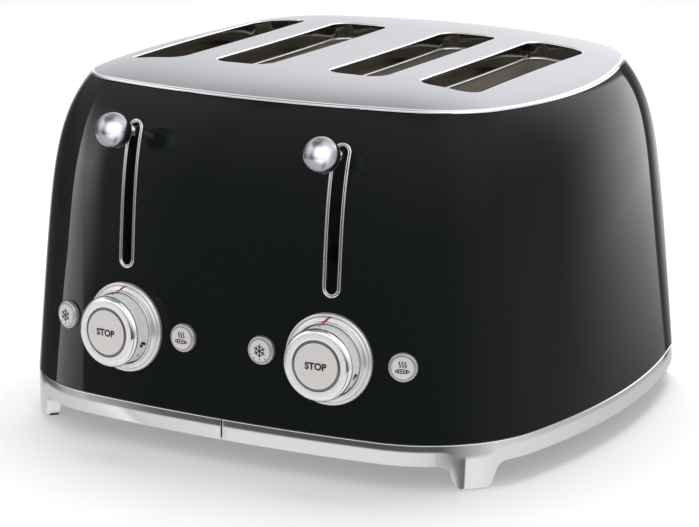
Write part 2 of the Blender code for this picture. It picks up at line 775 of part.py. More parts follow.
FEET = (
    ("front_left", -1, 1),
    ("front_right", 1, 1),
    ("rear_left", -1, -1),
    ("rear_right", 1, -1),
)


def build_skirt(centre):
    """Silver band with its four feet, open at the front for the crumb trays."""
    columns = full_ring(skirt_quarter())
    rings = [columns, [(x, y, BAND_TOP_Z) for x, y, _ in columns]]
    skirt = add_part("base_skirt", loft("base_skirt", rings, "open"), SATIN_SILVER, centre)
    solidify(skirt, BAND_WALL)
    block_low = PAD_HEIGHT + FIT
    block_top = BASE_PLATE_Z - FIT
    for foot, sign_x, sign_y in FEET:
        low = foot_sector(FOOT_HALF_FLAT, BAND_WALL / 2, FOOT_DEPTH)
        high = foot_sector(FOOT_TOP_HALF, BAND_WALL / 2, FOOT_DEPTH)
        low = mirrored([(*p, block_low) for p in low], sign_x, sign_y)
        high = mirrored([(*p, block_top) for p in high], sign_x, sign_y)
        join(skirt, add_tool("foot_block_" + foot, loft("foot_block", [low, high]), centre))
        pad = foot_sector(FOOT_HALF_FLAT, BAND_WALL + PAD_MARGIN, FOOT_DEPTH - PAD_MARGIN)
        pad = mirrored(pad, sign_x, sign_y)
        add_part("foot_pad_" + foot, plate("foot_pad", pad, 0.0, PAD_HEIGHT), RUBBER_BLACK, centre)
    gap = box(
        "tray_gap",
        (-TRAY_SEAM_X, -BODY_HALF_DEPTH - OVERRUN, -OVERRUN),
        (TRAY_SEAM_X, CHAMBER_FRONT_Y - SHELF_DEPTH, BAND_TOP_Z + OVERRUN),
    )
    cut(skirt, add_tool("tray_gap", gap, centre))


def build_base_plate(centre):
    """Plate that closes the bottom inside the band, with vent slots at the front and rear."""
    ring = outline(SHELL_FOOT_Z, BAND_WALL + FIT)
    bottom = plate("base_plate", ring, BASE_PLATE_Z, BASE_PLATE_TOP_Z)
    bottom = add_part("base_plate", bottom, BASE_BLACK, centre)
    for row in range(VENT_ROWS):
        for side, sign_x in SIDES:
            for end, sign_y in (("front", -1), ("rear", 1)):
                y = sign_y * (VENT_Y - row * VENT_PITCH)
                vent = box(
                    "vent",
                    (sign_x * VENT_X - VENT_LENGTH / 2, y - VENT_WIDTH / 2, 0.0),
                    (sign_x * VENT_X + VENT_LENGTH / 2, y + VENT_WIDTH / 2, BAND_TOP_Z),
                )
                cut(bottom, add_tool(f"vent_{side}_{end}_{row}", vent, centre))


def lever_slot_outline(grow):
    """Stadium outline of a lever slot in x and z, grown from the bezel's opening."""
    half = BEZEL_OPENING / 2
    low = BEZEL_LOW_Z + BEZEL_FLANGE + half
    top = BEZEL_TOP_Z - BEZEL_FLANGE - half
    points = []
    for share in BEZEL_SIDE_SHARES:
        points.append((half + grow, low + (top - low) * share, 1.0, 0.0))
    for i in range(BEZEL_END_STEPS + 1):
        angle = math.pi * i / BEZEL_END_STEPS
        out = (math.cos(angle), math.sin(angle))
        points.append(((half + grow) * out[0], top + (half + grow) * out[1], *out))
    for share in reversed(BEZEL_SIDE_SHARES[1:]):
        points.append((-half - grow, low + (top - low) * share, -1.0, 0.0))
    for i in range(BEZEL_END_STEPS):
        angle = math.pi * (1 + i / BEZEL_END_STEPS)
        out = (math.cos(angle), math.sin(angle))
        points.append(((half + grow) * out[0], low + (half + grow) * out[1], *out))
    return points


def build_bezels(centre):
    """Polished rings that line the lever slots and follow the curved front."""
    section = (
        (BEZEL_EDGE, BEZEL_PROUD),
        (BEZEL_FLANGE - BEZEL_EDGE, BEZEL_PROUD),
        (BEZEL_FLANGE, BEZEL_PROUD - BEZEL_EDGE),
        (BEZEL_FLANGE, FIT),
        (BEZEL_SLEEVE, FIT),
        (BEZEL_SLEEVE, -BEZEL_DEPTH),
        (0.0, -BEZEL_DEPTH),
        (0.0, BEZEL_PROUD - BEZEL_EDGE),
    )
    for side, sign in SIDES:
        rings = []
        for x, z, out_x, out_z in lever_slot_outline(0.0):
            place_x = sign * LEVER_X + x
            point = front_point(place_x, z)
            normal = front_normal(place_x, z)
            away = Vector((out_x, 0.0, out_z))
            away = (away - normal * away.dot(normal)).normalized()
            rings.append([point + away * e + normal * h for e, h in section])
        name = "lever_bezel_" + side
        add_part(name, loft(name, rings, "looped"), CHROME, centre)


def build_shell(centre):
    """Black body shell with its lever slots, control holes and gland hole."""
    heights = [
        SHELL_FOOT_Z + (SHELL_TOP_Z - SHELL_FOOT_Z) * share for share in SHELL_LEVEL_SHARES
    ]
    rings = [body_ring(z) for z in heights]
    shell = add_part("body_shell", loft("body_shell", rings, "open"), GLOSS_BLACK, centre)
    solidify(shell, SHELL_WALL)
    flatten(shell)
    points = [(x, z) for x, z, _, _ in lever_slot_outline(BEZEL_SLEEVE + FIT)]
    near, far = SHELF_DEPTH - CHAMBER_FRONT_Y, BODY_HALF_DEPTH + OVERRUN
    for side, sign in SIDES:
        slot = plate("lever_slot", points, near, far)
        place_at = (sign * LEVER_X, 0.0, 0.0)
        upright = (math.pi / 2, 0.0, 0.0)
        cut(shell, add_tool("lever_slot_" + side, slot, centre, place_at, upright))
        for label, x, radius in (
            ("knob", KNOB_X, COLLAR_RADIUS + FIT),
            ("inner", INNER_BUTTON_X, BUTTON_RADIUS + FIT),
            ("outer", OUTER_BUTTON_X, BUTTON_RADIUS + FIT),
        ):
            location, rotation = control_place(sign * x)
            hole = cylinder("hole", radius, OVERRUN * 2, CONTROL_SIDES, Matrix())
            tool = add_tool(f"{label}_hole_{side}", hole, centre, location, rotation)
            cut(shell, tool)
    hole = cylinder("hole", GLAND_SHANK_RADIUS + FIT, OVERRUN * 2, GLAND_SIDES, Matrix())
    cut(shell, add_tool("gland_hole", hole, centre, *gland_place()))


def control_place(x):
    """Place and turn of a control on the front face, with its Z outward."""
    normal = front_normal(x, CONTROL_Z)
    heading = math.atan2(normal.x, -normal.y)
    return front_point(x, CONTROL_Z), (math.pi / 2 - CONTROL_TILT, 0.0, heading)


def board_reach(x):
    """How far behind a small button the control board lies, and where its axis meets it."""
    knob_at, knob_turn = control_place(math.copysign(KNOB_X, x))
    button_at, button_turn = control_place(x)
    knob_frame = Euler(knob_turn).to_matrix()
    knob_axis = knob_frame.col[2]
    button_axis = Euler(button_turn).to_matrix().col[2]
    reach = ((button_at - knob_at).dot(knob_axis) + BOARD_FACE) / button_axis.dot(knob_axis)
    meeting = knob_frame.transposed() @ (button_at - button_axis * reach - knob_at)
    return reach, meeting, button_axis.angle(knob_axis)


def gland_place():
    """Place and turn of the cable gland on the rear face, with its Z outward."""
    flip = Vector((1.0, -1.0, 1.0))
    normal = front_normal(GLAND_X, GLAND_Z) * flip
    return front_point(GLAND_X, GLAND_Z) * flip, normal.to_track_quat("Z", "Y").to_euler()


def build_panel(centre):
    """Crowned steel top panel with four slots and their collars."""
    edge = outline(PANEL_EDGE_Z)
    rings = [[(x, y, PANEL_EDGE_Z + arch(PANEL_EDGE_Z, y)) for x, y in edge]]
    for share in (1.0, *PANEL_RING_SHARES):
        scaled = [(x * share, y * share) for x, y in edge]
        rings.append([(x, y, panel_height(x, y, share)) for x, y in scaled])
    panel = add_part("top_panel", loft("top_panel", rings, "topped"), BRUSHED_STEEL, centre)
    solidify(panel, PANEL_WALL)
    half_x = SLOT_WIDTH / 2
    half_y = (SLOT_REAR_Y - SLOT_FRONT_Y) / 2
    middle_y = (SLOT_REAR_Y + SLOT_FRONT_Y) / 2
    top = PANEL_EDGE_Z + CROWN_RISE + OVERRUN
    for slot, slot_x in SLOTS:
        grown, hole, shrunk = (
            [
                (slot_x + x, middle_y + y)
                for x, y in rounded_rectangle(
                    half_x + grow, half_y + grow, SLOT_CORNER + grow, SLOT_CORNER_STEPS
                )
            ]
            for grow in (COLLAR_WALL, 0.0, -COLLAR_TRIM)
        )
        collar = [
            [(x, y, COLLAR_FOOT_Z) for x, y in grown],
            [(x, y, panel_height(x, y) - PANEL_WALL / 2) for x, y in grown],
            [(x, y, panel_height(x, y) - PANEL_WALL / 2) for x, y in shrunk],
            [(x, y, COLLAR_FOOT_Z) for x, y in shrunk],
        ]
        join(panel, add_tool("collar_" + slot, loft("collar", collar, "looped"), centre))
        hole = plate("bread_slot", hole, COLLAR_FOOT_Z - OVERRUN, top)
        cut(panel, add_tool("bread_slot_" + slot, hole, centre))


def build_gasket(centre):
    """Dark ring inside the shell that carries the panel's edge."""
    outer, inner = GASKET_INSET, GASKET_INSET + GASKET_WIDTH
    rings = [
        body_ring(GASKET_FOOT_Z, outer),
        body_ring(SHELL_TOP_Z, outer),
        body_ring(SHELL_TOP_Z, inner),
        body_ring(GASKET_FOOT_Z, inner),
    ]
    add_part("top_gasket", loft("top_gasket", rings, "looped"), RUBBER_BLACK, centre)


def tray_front(x_from, x_to, inset):
    """Points of the band's front line between two places, towards +X."""
    front, corner, _ = quarter_arcs(SHELL_FOOT_Z, inset)
    front_count, corner_count, _ = SHELL_COUNTS
    points = arc_points(front, front_count) + arc_points(corner, corner_count)
    first, last = ((x, front_y(x, SHELL_FOOT_Z, inset)) for x in (x_from, x_to))
    between = [p for p in points if x_from + OVERLAP < p[0] < x_to - OVERLAP]
    return [first, *between, last]


def build_trays(centre):
    """Crumb trays whose lips complete the band at the front."""
    near, far = TRAY_MIDDLE_GAP / 2, TRAY_SEAM_X - FIT
    inner, outer = near + TRAY_SIDE_MARGIN, far - TRAY_SIDE_MARGIN
    for side, sign in SIDES:
        lip = tray_front(near, far, 0.0) + tray_front(near, far, BAND_WALL)[::-1]
        lip = mirrored(lip, sign, 1)
        name = "crumb_tray_" + side
        tray = add_part(name, plate(name, lip, BAND_LOW_Z, BAND_TOP_Z), SATIN_SILVER, centre)
        pan = tray_front(inner, outer, BAND_WALL / 2)
        pan += [(outer, TRAY_REAR_Y), (inner, TRAY_REAR_Y)]
        pan = mirrored(pan, sign, 1)
        pan = plate("pan", pan, TRAY_FOOT_Z, TRAY_FOOT_Z + TRAY_DEPTH)
        join(tray, add_tool("tray_pan_" + side, pan, centre))
        low, high = inner + TRAY_WALL, outer - TRAY_WALL
        hollow = tray_front(low, high, BAND_WALL + TRAY_WALL)
        hollow += [(high, TRAY_REAR_Y - TRAY_WALL), (low, TRAY_REAR_Y - TRAY_WALL)]
        hollow = mirrored(hollow, sign, 1)
        top = TRAY_FOOT_Z + TRAY_DEPTH + OVERRUN
        hollow = plate("tray_hollow", hollow, TRAY_FOOT_Z + TRAY_WALL, top)
        cut(tray, add_tool("tray_hollow_" + side, hollow, centre))


def build_bulkheads(centre):
    """End walls of the chamber, with rack slots; the front one carries shelf and flange."""
    half = BULKHEAD_HALF_WIDTH
    leg_from = TRAY_SEAM_X + FIT
    walls = (
        ("front_bulkhead", CHAMBER_FRONT_Y - BULKHEAD_WALL, CHAMBER_FRONT_Y),
        ("rear_bulkhead", CHAMBER_REAR_Y, CHAMBER_REAR_Y + BULKHEAD_WALL),
    )
    slot_half = RACK_BAR_WALL / 2 + RACK_SLOT_CLEARANCE
    slot_low = CROSSBAR_Z - RACK_BAR_HEIGHT / 2 - LEVER_TRAVEL - RACK_SLOT_CLEARANCE
    slot_high = CROSSBAR_Z + RACK_BAR_HEIGHT / 2 + RACK_SLOT_CLEARANCE
    for name, near, far in walls:
        foot_z = BASE_PLATE_TOP_Z + FIT
        wall = box(name, (-half, near, foot_z), (half, far, CHAMBER_TOP_Z))
        wall = add_part(name, wall, PLAIN_STEEL, centre)
        notch = box(
            "notch",
            (-leg_from, near - OVERRUN, foot_z - OVERRUN),
            (leg_from, far + OVERRUN, CHAMBER_FOOT_Z),
        )
        cut(wall, add_tool(name + "_notch", notch, centre))
        for slot, slot_x in SLOTS:
            hole = box(
                "rack_slot",
                (slot_x - slot_half, near - OVERRUN, slot_low),
                (slot_x + slot_half, far + OVERRUN, slot_high),
            )
            cut(wall, add_tool(f"{name}_slot_{slot}", hole, centre))
        if name == "front_bulkhead":
            for label, top in (("shelf", SHELF_TOP_Z), ("flange", FLANGE_FOOT_Z + SHELF_WALL)):
                ledge = box(
                    label,
                    (-SHELF_HALF_WIDTH, near - SHELF_DEPTH, top - SHELF_WALL),
                    (SHELF_HALF_WIDTH, far - BULKHEAD_WALL / 2, top),
                )
                join(wall, add_tool(label + "_ledge", ledge, centre))


def build_shields(centre):
    """Heat shields that close the chamber's sides."""
    for side, sign in SIDES:
        edges = sorted((sign * TRAY_SEAM_X, sign * (TRAY_SEAM_X + SHIELD_WALL)))
        shield = box(
            "heat_shield",
            (edges[0], CHAMBER_FRONT_Y + FIT, CHAMBER_FOOT_Z),
            (edges[1], CHAMBER_REAR_Y - FIT, CHAMBER_TOP_Z),
        )
        add_part("heat_shield_" + side, shield, PLAIN_STEEL, centre)


def build_heaters(centre):
    """Mica heater boards on both sides of each slot."""
    for side, sign in SIDES:
        for label, x in (
            ("inner", INNER_SLOT_X - HEATER_STANDOFF),
            ("middle", (INNER_SLOT_X + OUTER_SLOT_X) / 2),
            ("outer", OUTER_SLOT_X + HEATER_STANDOFF),
        ):
            low = (sign * x - HEATER_WALL / 2, CHAMBER_FRONT_Y + FIT, HEATER_FOOT_Z)
            high = (sign * x + HEATER_WALL / 2, CHAMBER_REAR_Y - FIT, HEATER_TOP_Z)
            name = f"heater_{side}_{label}"
            add_part(name, box(name, low, high), MICA, centre)


def build_guides(centre):
    """Barred plates that keep the bread upright, one on each side of each slot."""
    half = SLOT_WIDTH / 2 - GUIDE_MARGIN
    front, rear = CHAMBER_FRONT_Y + FIT, CHAMBER_REAR_Y - FIT
    pitch = (rear - front - GUIDE_BAR_WIDTH) / (GUIDE_BARS - 1)
    for slot, slot_x in SLOTS:
        outward = math.copysign(1.0, slot_x)
        windows = []
        for bar in range(GUIDE_BARS - 1):
            start = front + GUIDE_BAR_WIDTH + bar * pitch
            end = start + pitch - GUIDE_BAR_WIDTH
            window = box(
                "guide_window",
                (slot_x - half - OVERRUN, start, GUIDE_FOOT_Z + GUIDE_RAIL),
                (slot_x + half + OVERRUN, end, GUIDE_TOP_Z - GUIDE_RAIL),
            )
            windows.append(add_tool(f"guide_window_{slot}_{bar}", window, centre))
        for label, sign in (("in", -outward), ("out", outward)):
            faces = sorted((slot_x + sign * (half - GUIDE_WALL), slot_x + sign * half))
            name = f"bread_guide_{slot}_{label}"
            sheet = box(name, (faces[0], front, GUIDE_FOOT_Z), (faces[1], rear, GUIDE_TOP_Z))
            guide = add_part(name, sheet, PLAIN_STEEL, centre)
            for window in windows:
                cut(guide, window)


def build_rods(centre):
    """Guide rods of the two lifts, with their springs."""
    length = ROD_TOP_Z - ROD_FOOT_Z
    for side, sign in SIDES:
        middle = Matrix.Translation((0.0, 0.0, length / 2))
        rod = cylinder("guide_rod", ROD_RADIUS, length, ROD_SIDES, middle)
        location = (sign * LEVER_X, ROD_Y, ROD_FOOT_Z)
        add_part("guide_rod_" + side, rod, PLAIN_STEEL, centre, location)
        curve = bpy.data.curves.new("lift_spring", "CURVE")
        curve.dimensions = "3D"
        curve.bevel_depth = SPRING_WIRE_RADIUS
        curve.bevel_resolution = 0
        curve.use_fill_caps = True
        count = SPRING_TURNS * SPRING_TURN_STEPS
        rise = SPRING_TOP_Z - SPRING_FOOT_Z - SPRING_WIRE_RADIUS * 2
        spline = curve.splines.new("POLY")
        spline.points.add(count)
        for i, point in enumerate(spline.points):
            angle = 2 * math.pi * i / SPRING_TURN_STEPS
            x = SPRING_MEAN_RADIUS * math.cos(angle)
            y = SPRING_MEAN_RADIUS * math.sin(angle)
            point.co = (x, y, SPRING_WIRE_RADIUS + rise * i / count, 1.0)
        location = (sign * LEVER_X, ROD_Y, SPRING_FOOT_Z)
        add_part("lift_spring_" + side, curve, PLAIN_STEEL, centre, location)


def build_lifts(centre):
    """Levers with their carriages and bread racks, and the magnets that latch them."""
    for side, sign in SIDES:
        axis = make_empty("lift_axis_" + side, centre, (sign * LEVER_X, ROD_Y, 0.0))
        build_ball(side, axis)
        build_carriage(side, sign, axis)
        build_magnet(side, sign, centre)
        for slot, slot_x in SLOTS:
            if slot_x * sign > 0:
                build_rack(slot, slot_x - sign * LEVER_X, axis)


def build_magnet(side, sign, centre):
    """Latch magnet under the carriage's tab: an iron core with its coil."""
    place_at = (sign * (LEVER_X - TAB_REACH + MAGNET_SIZE / 2), ROD_Y, 0.0)
    half = MAGNET_SIZE / 2
    low, high = SHELF_TOP_Z + FIT, MAGNET_TOP_Z
    core = box("latch_magnet", (-half, -half, low), (half, half, high))
    magnet = add_part("latch_magnet_" + side, core, COIL_COPPER, centre, place_at)
    middle = (low + high) / 2
    half_coil = (high - low) * MAGNET_COIL_SHARE / 2
    narrow, wide = half - MAGNET_COIL_GROWTH, half + MAGNET_COIL_GROWTH
    coil = box(
        "magnet_coil",
        (-narrow, -wide, middle - half_coil),
        (narrow, wide, middle + half_coil),
    )
    join(magnet, add_tool("magnet_coil_" + side, coil, centre, place_at))


def build_ball(side, axis):
    """Polished ball with the stem that carries it, turned about the stem."""
    reach = math.asin(STEM_RADIUS / BALL_RADIUS)
    profile = []
    for i in range(BALL_STEPS + 1):
        angle = (math.pi - reach) * i / BALL_STEPS
        profile.append((BALL_RADIUS * math.sin(angle), BALL_RADIUS * math.cos(angle)))
    profile += [(STEM_RADIUS, -STEM_LENGTH), (0.0, -STEM_LENGTH)]
    location = (0.0, BALL_Y - ROD_Y, BALL_Z)
    rotation = (math.pi / 2 - STEM_TILT, 0.0, 0.0)
    turned("lever_ball_" + side, profile, CHROME, BALL_SIDES, axis, location, rotation)


def build_carriage(side, sign, axis):
    """Sleeve on the guide rod with its arm, latch tab, web and rack crossbar."""
    bore = ROD_RADIUS + FIT
    grip = bore + FIT
    profile = [
        (SLEEVE_RADIUS, ROD_TOP_Z),
        (SLEEVE_RADIUS, SLEEVE_FOOT_Z),
        (bore, SLEEVE_FOOT_Z),
        (bore, ROD_TOP_Z),
    ]
    name = "lift_carriage_" + side
    carriage = turned(name, profile, PLAIN_STEEL, ROD_SIDES, axis)
    arm_y = ARM_FRONT_Y - ROD_Y
    back_y = CROSSBAR_BACK_Y - ROD_Y
    face_y = CROSSBAR_FACE_Y - ROD_Y
    inner_x = -sign * (LEVER_X - INNER_SLOT_X + WEB_WIDTH)
    outer_x = sign * (OUTER_SLOT_X - LEVER_X + WEB_WIDTH)
    bar_half = RACK_BAR_HEIGHT / 2
    web_half = WEB_WIDTH / 2
    web_top = (SLEEVE_FOOT_Z + ARM_Z) / 2
    tab_x = sorted((-sign * grip, -sign * TAB_REACH))
    bar_x = sorted((inner_x, outer_x))
    shapes = (
        (
            "arm",
            (-ARM_WALL / 2, arm_y, ARM_Z - ARM_HEIGHT / 2),
            (ARM_WALL / 2, -grip, ARM_Z + ARM_HEIGHT / 2),
        ),
        (
            "web",
            (-web_half, grip, SLEEVE_FOOT_Z + OVERLAP),
            (web_half, back_y + OVERLAP, web_top),
        ),
        (
            "plate",
            (-web_half - OVERLAP, back_y, CROSSBAR_Z),
            (web_half + OVERLAP, face_y, web_top + OVERLAP),
        ),
        (
            "crossbar",
            (bar_x[0], back_y + FIT, CROSSBAR_Z - bar_half),
            (bar_x[1], face_y - FIT, CROSSBAR_Z + bar_half),
        ),
        (
            "tab",
            (tab_x[0], -TAB_DEPTH / 2, TAB_FOOT_Z),
            (tab_x[1], TAB_DEPTH / 2, TAB_FOOT_Z + TAB_WALL),
        ),
    )
    for label, low, high in shapes:
        join(carriage, add_tool(f"{label}_{side}", box(label, low, high), axis))


def build_rack(slot, rack_x, axis):
    """Bread rack: a bar along the slot with cross wires."""
    front, rear = RACK_FRONT_Y - ROD_Y, RACK_REAR_Y - ROD_Y
    half_z = RACK_BAR_HEIGHT / 2
    name = "bread_rack_" + slot
    bar = box(
        name,
        (rack_x - RACK_BAR_WALL / 2, front, CROSSBAR_Z - half_z),
        (rack_x + RACK_BAR_WALL / 2, rear, CROSSBAR_Z + half_z),
    )
    rack = add_part(name, bar, PLAIN_STEEL, axis)
    first, last = SLOT_FRONT_Y - ROD_Y, SLOT_REAR_Y - ROD_Y
    pitch = (last - first) / RACK_WIRES
    z = CROSSBAR_Z + half_z - RACK_WIRE_RADIUS * 2
    for wire in range(RACK_WIRES):
        middle = Matrix.Translation((rack_x, first + pitch * (wire + 1 / 2), z))
        matrix = middle @ Matrix.Rotation(math.pi / 2, 4, "Y")
        mesh = cylinder("wire", RACK_WIRE_RADIUS, RACK_WIRE_LENGTH, RACK_WIRE_SIDES, matrix)
        join(rack, add_tool(f"rack_wire_{slot}_{wire}", mesh, axis))


def build_controls(centre):
    """Collars, knobs, stop buttons, browning switches, boards and small buttons."""
    for side, sign in SIDES:
        location, rotation = control_place(sign * KNOB_X)
        axis = make_empty("knob_axis_" + side, centre, location, rotation)
        build_collar(side, axis)
        build_knob(side, axis)
        build_switch(side, axis)
        build_board(side, sign, axis)
        names = {"left": ("defrost", "reheat"), "right": ("reheat", "defrost")}[side]
        for label, x in zip(names, (OUTER_BUTTON_X, INNER_BUTTON_X)):
            build_button(f"{label}_button_{side}", centre, sign * x)


def build_collar(side, axis):
    """Stepped polished collar round the knob, with the tube that holds the board."""
    profile = [(COLLAR_BORE, COLLAR_STAND)]
    for width_share, height_share in COLLAR_STEP_SHARES:
        radius = COLLAR_BORE + COLLAR_WIDTH * width_share
        profile.append((radius, COLLAR_STAND * height_share))
    board = -BOARD_FACE + FIT
    profile += [
        (COLLAR_RADIUS, -COLLAR_ROOT),
        (COLLAR_TUBE_RADIUS, -COLLAR_ROOT),
        (COLLAR_TUBE_RADIUS, board),
        (COLLAR_BORE, board),
    ]
    turned("knob_collar_" + side, profile, CHROME, CONTROL_SIDES, axis)


def build_knob(side, axis):
    """Browning knob, hollow for the stop button, and the stop button in it."""
    mouth = STOP_RADIUS + FIT
    floor_top = KNOB_WALL - KNOB_BACK
    hub_bore = SWITCH_SHAFT_RADIUS + FIT
    hub_radius = hub_bore + KNOB_HUB_WALL
    hub_foot = -KNOB_BACK - KNOB_HUB_LENGTH
    profile = [(mouth, KNOB_STAND - KNOB_MOUTH_DROP)]
    for width_share, height_share in KNOB_FRONT_SHARES:
        radius = mouth + (KNOB_RADIUS - mouth) * width_share
        profile.append((radius, KNOB_STAND * height_share))
    profile += [
        (KNOB_BAND_RADIUS, KNOB_BAND_TOP),
        (KNOB_BAND_RADIUS, -KNOB_BACK),
        (hub_radius, -KNOB_BACK),
        (hub_radius, hub_foot),
        (hub_bore, hub_foot),
        (hub_bore, floor_top),
        (mouth, floor_top),
    ]
    turned("browning_knob_" + side, profile, CHROME, CONTROL_SIDES, axis)
    under = STOP_TOP - STOP_HEIGHT
    stem_end = -BOARD_FACE + FIT + STOP_TRAVEL
    profile = [
        (0.0, STOP_TOP),
        (STOP_RADIUS - STOP_EDGE, STOP_TOP),
        (STOP_RADIUS, STOP_TOP - STOP_EDGE),
        (STOP_RADIUS, under),
        (STOP_STEM_RADIUS, under),
        (STOP_STEM_RADIUS, stem_end),
        (0.0, stem_end),
    ]
    turned("stop_button_" + side, profile, SATIN_BUTTON, CONTROL_SIDES, axis)


def build_switch(side, axis):
    """Hollow rotary switch that the knob's hub turns on."""
    bore = STOP_STEM_RADIUS + FIT
    board = -BOARD_FACE + FIT
    profile = [
        (bore, -SWITCH_SHAFT_TOP),
        (SWITCH_SHAFT_RADIUS, -SWITCH_SHAFT_TOP),
        (SWITCH_SHAFT_RADIUS, -SWITCH_BODY_TOP),
        (SWITCH_BODY_RADIUS, -SWITCH_BODY_TOP),
        (SWITCH_BODY_RADIUS, board),
        (bore, board),
    ]
    turned("browning_switch_" + side, profile, BASE_BLACK, SWITCH_SIDES, axis)


def build_board(side, sign, axis):
    """Circuit board across the knob's axis, with a push switch behind each small button."""
    half_y = BOARD_HEIGHT / 2
    places = [board_reach(sign * x)[1] for x in (INNER_BUTTON_X, OUTER_BUTTON_X)]
    low_x, high_x = sorted(at.x for at in places)
    name = "control_board_" + side
    board = box(
        name,
        (low_x - BOARD_MARGIN, -half_y, -BOARD_FACE - BOARD_WALL),
        (high_x + BOARD_MARGIN, half_y, -BOARD_FACE),
    )
    board = add_part(name, board, BOARD_GREEN, axis)
    half = BOARD_SWITCH_SIZE / 2
    for label, at in zip(("inner", "outer"), places):
        push = box(
            "push",
            (at.x - half, at.y - half, -BOARD_FACE - BOARD_WALL / 2),
            (at.x + half, at.y + half, -BOARD_FACE + BOARD_SWITCH_HEIGHT),
        )
        join(board, add_tool(f"push_switch_{side}_{label}", push, axis))


def build_button(name, centre, x):
    """Small round push button, held behind the shell by its flange."""
    flange_top = -SHELL_WALL - BUTTON_FLANGE_GAP
    flange_low = flange_top - BUTTON_FLANGE_WALL
    reach, _, lean = board_reach(x)
    room = BOARD_SWITCH_HEIGHT + BUTTON_TRAVEL + FIT + BUTTON_STEM_RADIUS * math.tan(lean)
    stem_end = room - reach
    profile = [
        (BUTTON_RADIUS * radius_share, BUTTON_PROUD * height_share)
        for radius_share, height_share in BUTTON_FACE_SHARES
    ]
    profile += [
        (BUTTON_RADIUS, flange_top),
        (BUTTON_FLANGE_RADIUS, flange_top),
        (BUTTON_FLANGE_RADIUS, flange_low),
        (BUTTON_STEM_RADIUS, flange_low),
        (BUTTON_STEM_RADIUS, stem_end),
        (0.0, stem_end),
    ]
    location, rotation = control_place(x)
    turned(name, profile, SATIN_BUTTON, BUTTON_SIDES, centre, location, rotation)


def build_gland(centre):
    """Cable gland in the rear of the shell."""
    profile = [
        (0.0, GLAND_REACH - GLAND_RECESS),
        (GLAND_RECESS_RADIUS, GLAND_REACH - GLAND_RECESS),
        (GLAND_RECESS_RADIUS, GLAND_REACH),
        (GLAND_TIP_RADIUS, GLAND_REACH),
        (GLAND_SHANK_RADIUS, GLAND_FLANGE_WALL + FIT * 2),
        (GLAND_FLANGE_RADIUS, GLAND_FLANGE_WALL + FIT),
        (GLAND_FLANGE_RADIUS, FIT * 2),
        (GLAND_SHANK_RADIUS, FIT * 2),
        (GLAND_SHANK_RADIUS, -GLAND_ROOT),
        (0.0, -GLAND_ROOT),
    ]
    location, rotation = gland_place()
    turned("cable_gland", profile, RUBBER_BLACK, GLAND_SIDES, centre, location, rotation)


def build_toaster():
    """Clear the scene and build every piece."""
    clear_scene()
    make_collection(PART_COLLECTION)
    make_collection(TOOL_COLLECTION)
    centre = make_empty("body_centre", None, (0.0, BODY_CENTRE_Y, 0.0))
    build_skirt(centre)
    build_base_plate(centre)
    build_shell(centre)
    build_panel(centre)
    build_gasket(centre)
    build_bezels(centre)
    build_trays(centre)
    build_bulkheads(centre)
    build_shields(centre)
    build_heaters(centre)
    build_guides(centre)
    build_rods(centre)
    build_lifts(centre)
    build_controls(centre)
    build_gland(centre)


build_toaster()
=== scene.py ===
"""Looks of a four-slot toaster: gloss black shell, satin steel top and a silver base band."""

import logging
import math
from dataclasses import dataclass, field
from enum import Enum
from typing import Iterable, Sequence

import bmesh
import bpy
import numpy as np
from mathutils import Euler, Matrix, Vector
from mathutils.geometry import delaunay_2d_cdt

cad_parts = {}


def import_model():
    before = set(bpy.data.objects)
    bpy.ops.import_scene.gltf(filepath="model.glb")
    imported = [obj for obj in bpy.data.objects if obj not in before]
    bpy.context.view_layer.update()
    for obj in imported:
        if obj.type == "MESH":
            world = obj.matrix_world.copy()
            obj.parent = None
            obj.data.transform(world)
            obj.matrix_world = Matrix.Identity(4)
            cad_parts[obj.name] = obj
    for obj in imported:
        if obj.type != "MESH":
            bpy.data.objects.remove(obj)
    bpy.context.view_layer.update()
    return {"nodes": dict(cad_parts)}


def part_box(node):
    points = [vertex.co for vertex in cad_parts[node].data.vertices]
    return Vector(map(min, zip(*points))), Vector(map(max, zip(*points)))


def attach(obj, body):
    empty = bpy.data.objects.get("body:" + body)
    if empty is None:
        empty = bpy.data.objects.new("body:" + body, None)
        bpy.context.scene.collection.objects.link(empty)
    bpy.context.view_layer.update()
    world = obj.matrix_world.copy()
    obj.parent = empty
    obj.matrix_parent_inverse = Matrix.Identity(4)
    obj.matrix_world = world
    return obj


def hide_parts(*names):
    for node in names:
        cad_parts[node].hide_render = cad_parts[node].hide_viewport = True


LOG = logging.getLogger("toaster")
Array = np.ndarray
Rgb = tuple[int, int, int]
Pair = tuple[float, float]
Point = tuple[float, float, float]
Curve = tuple[Pair, ...]
Column = tuple[Vector, Vector, float]
BODY = Matrix.Translation((0.0, 0.0016, 0.0))  # from the body's own middle to the frame's
FIT = 0.0003  # clearance between pieces that meet
ROUND = 96  # steps round the knobs and their collars


class Side(Enum):
    """The toaster's two halves, each with its own lever, knob and tray."""

    LEFT = "left"
    RIGHT = "right"

    @property
    def sign(self) -> int:
        """The half's direction along X."""
        return -1 if self is Side.LEFT else 1


class Icon(Enum):
    """What the print on a small button shows."""

    SNOWFLAKE = "snowflake"
    STEAM = "steam"


class Grain(Enum):
    """Which way the fine lines of a metal run."""

    SPECKLE = "speckle"
    ALONG_X = "along_x"
    UPRIGHT = "upright"
    TURNED = "turned"


def linear(colour: Rgb) -> tuple[float, float, float, float]:
    """Turn a display colour into light values.

    Args:
        colour: Red, green and blue from 0 to 255.

    Returns:
        Linear red, green, blue and an alpha of 1.
    """
    shares = [channel / 255 for channel in colour]
    light = [s / 12.92 if s <= 0.04045 else ((s + 0.055) / 1.055) ** 2.4 for s in shares]
    return (light[0], light[1], light[2], 1.0)


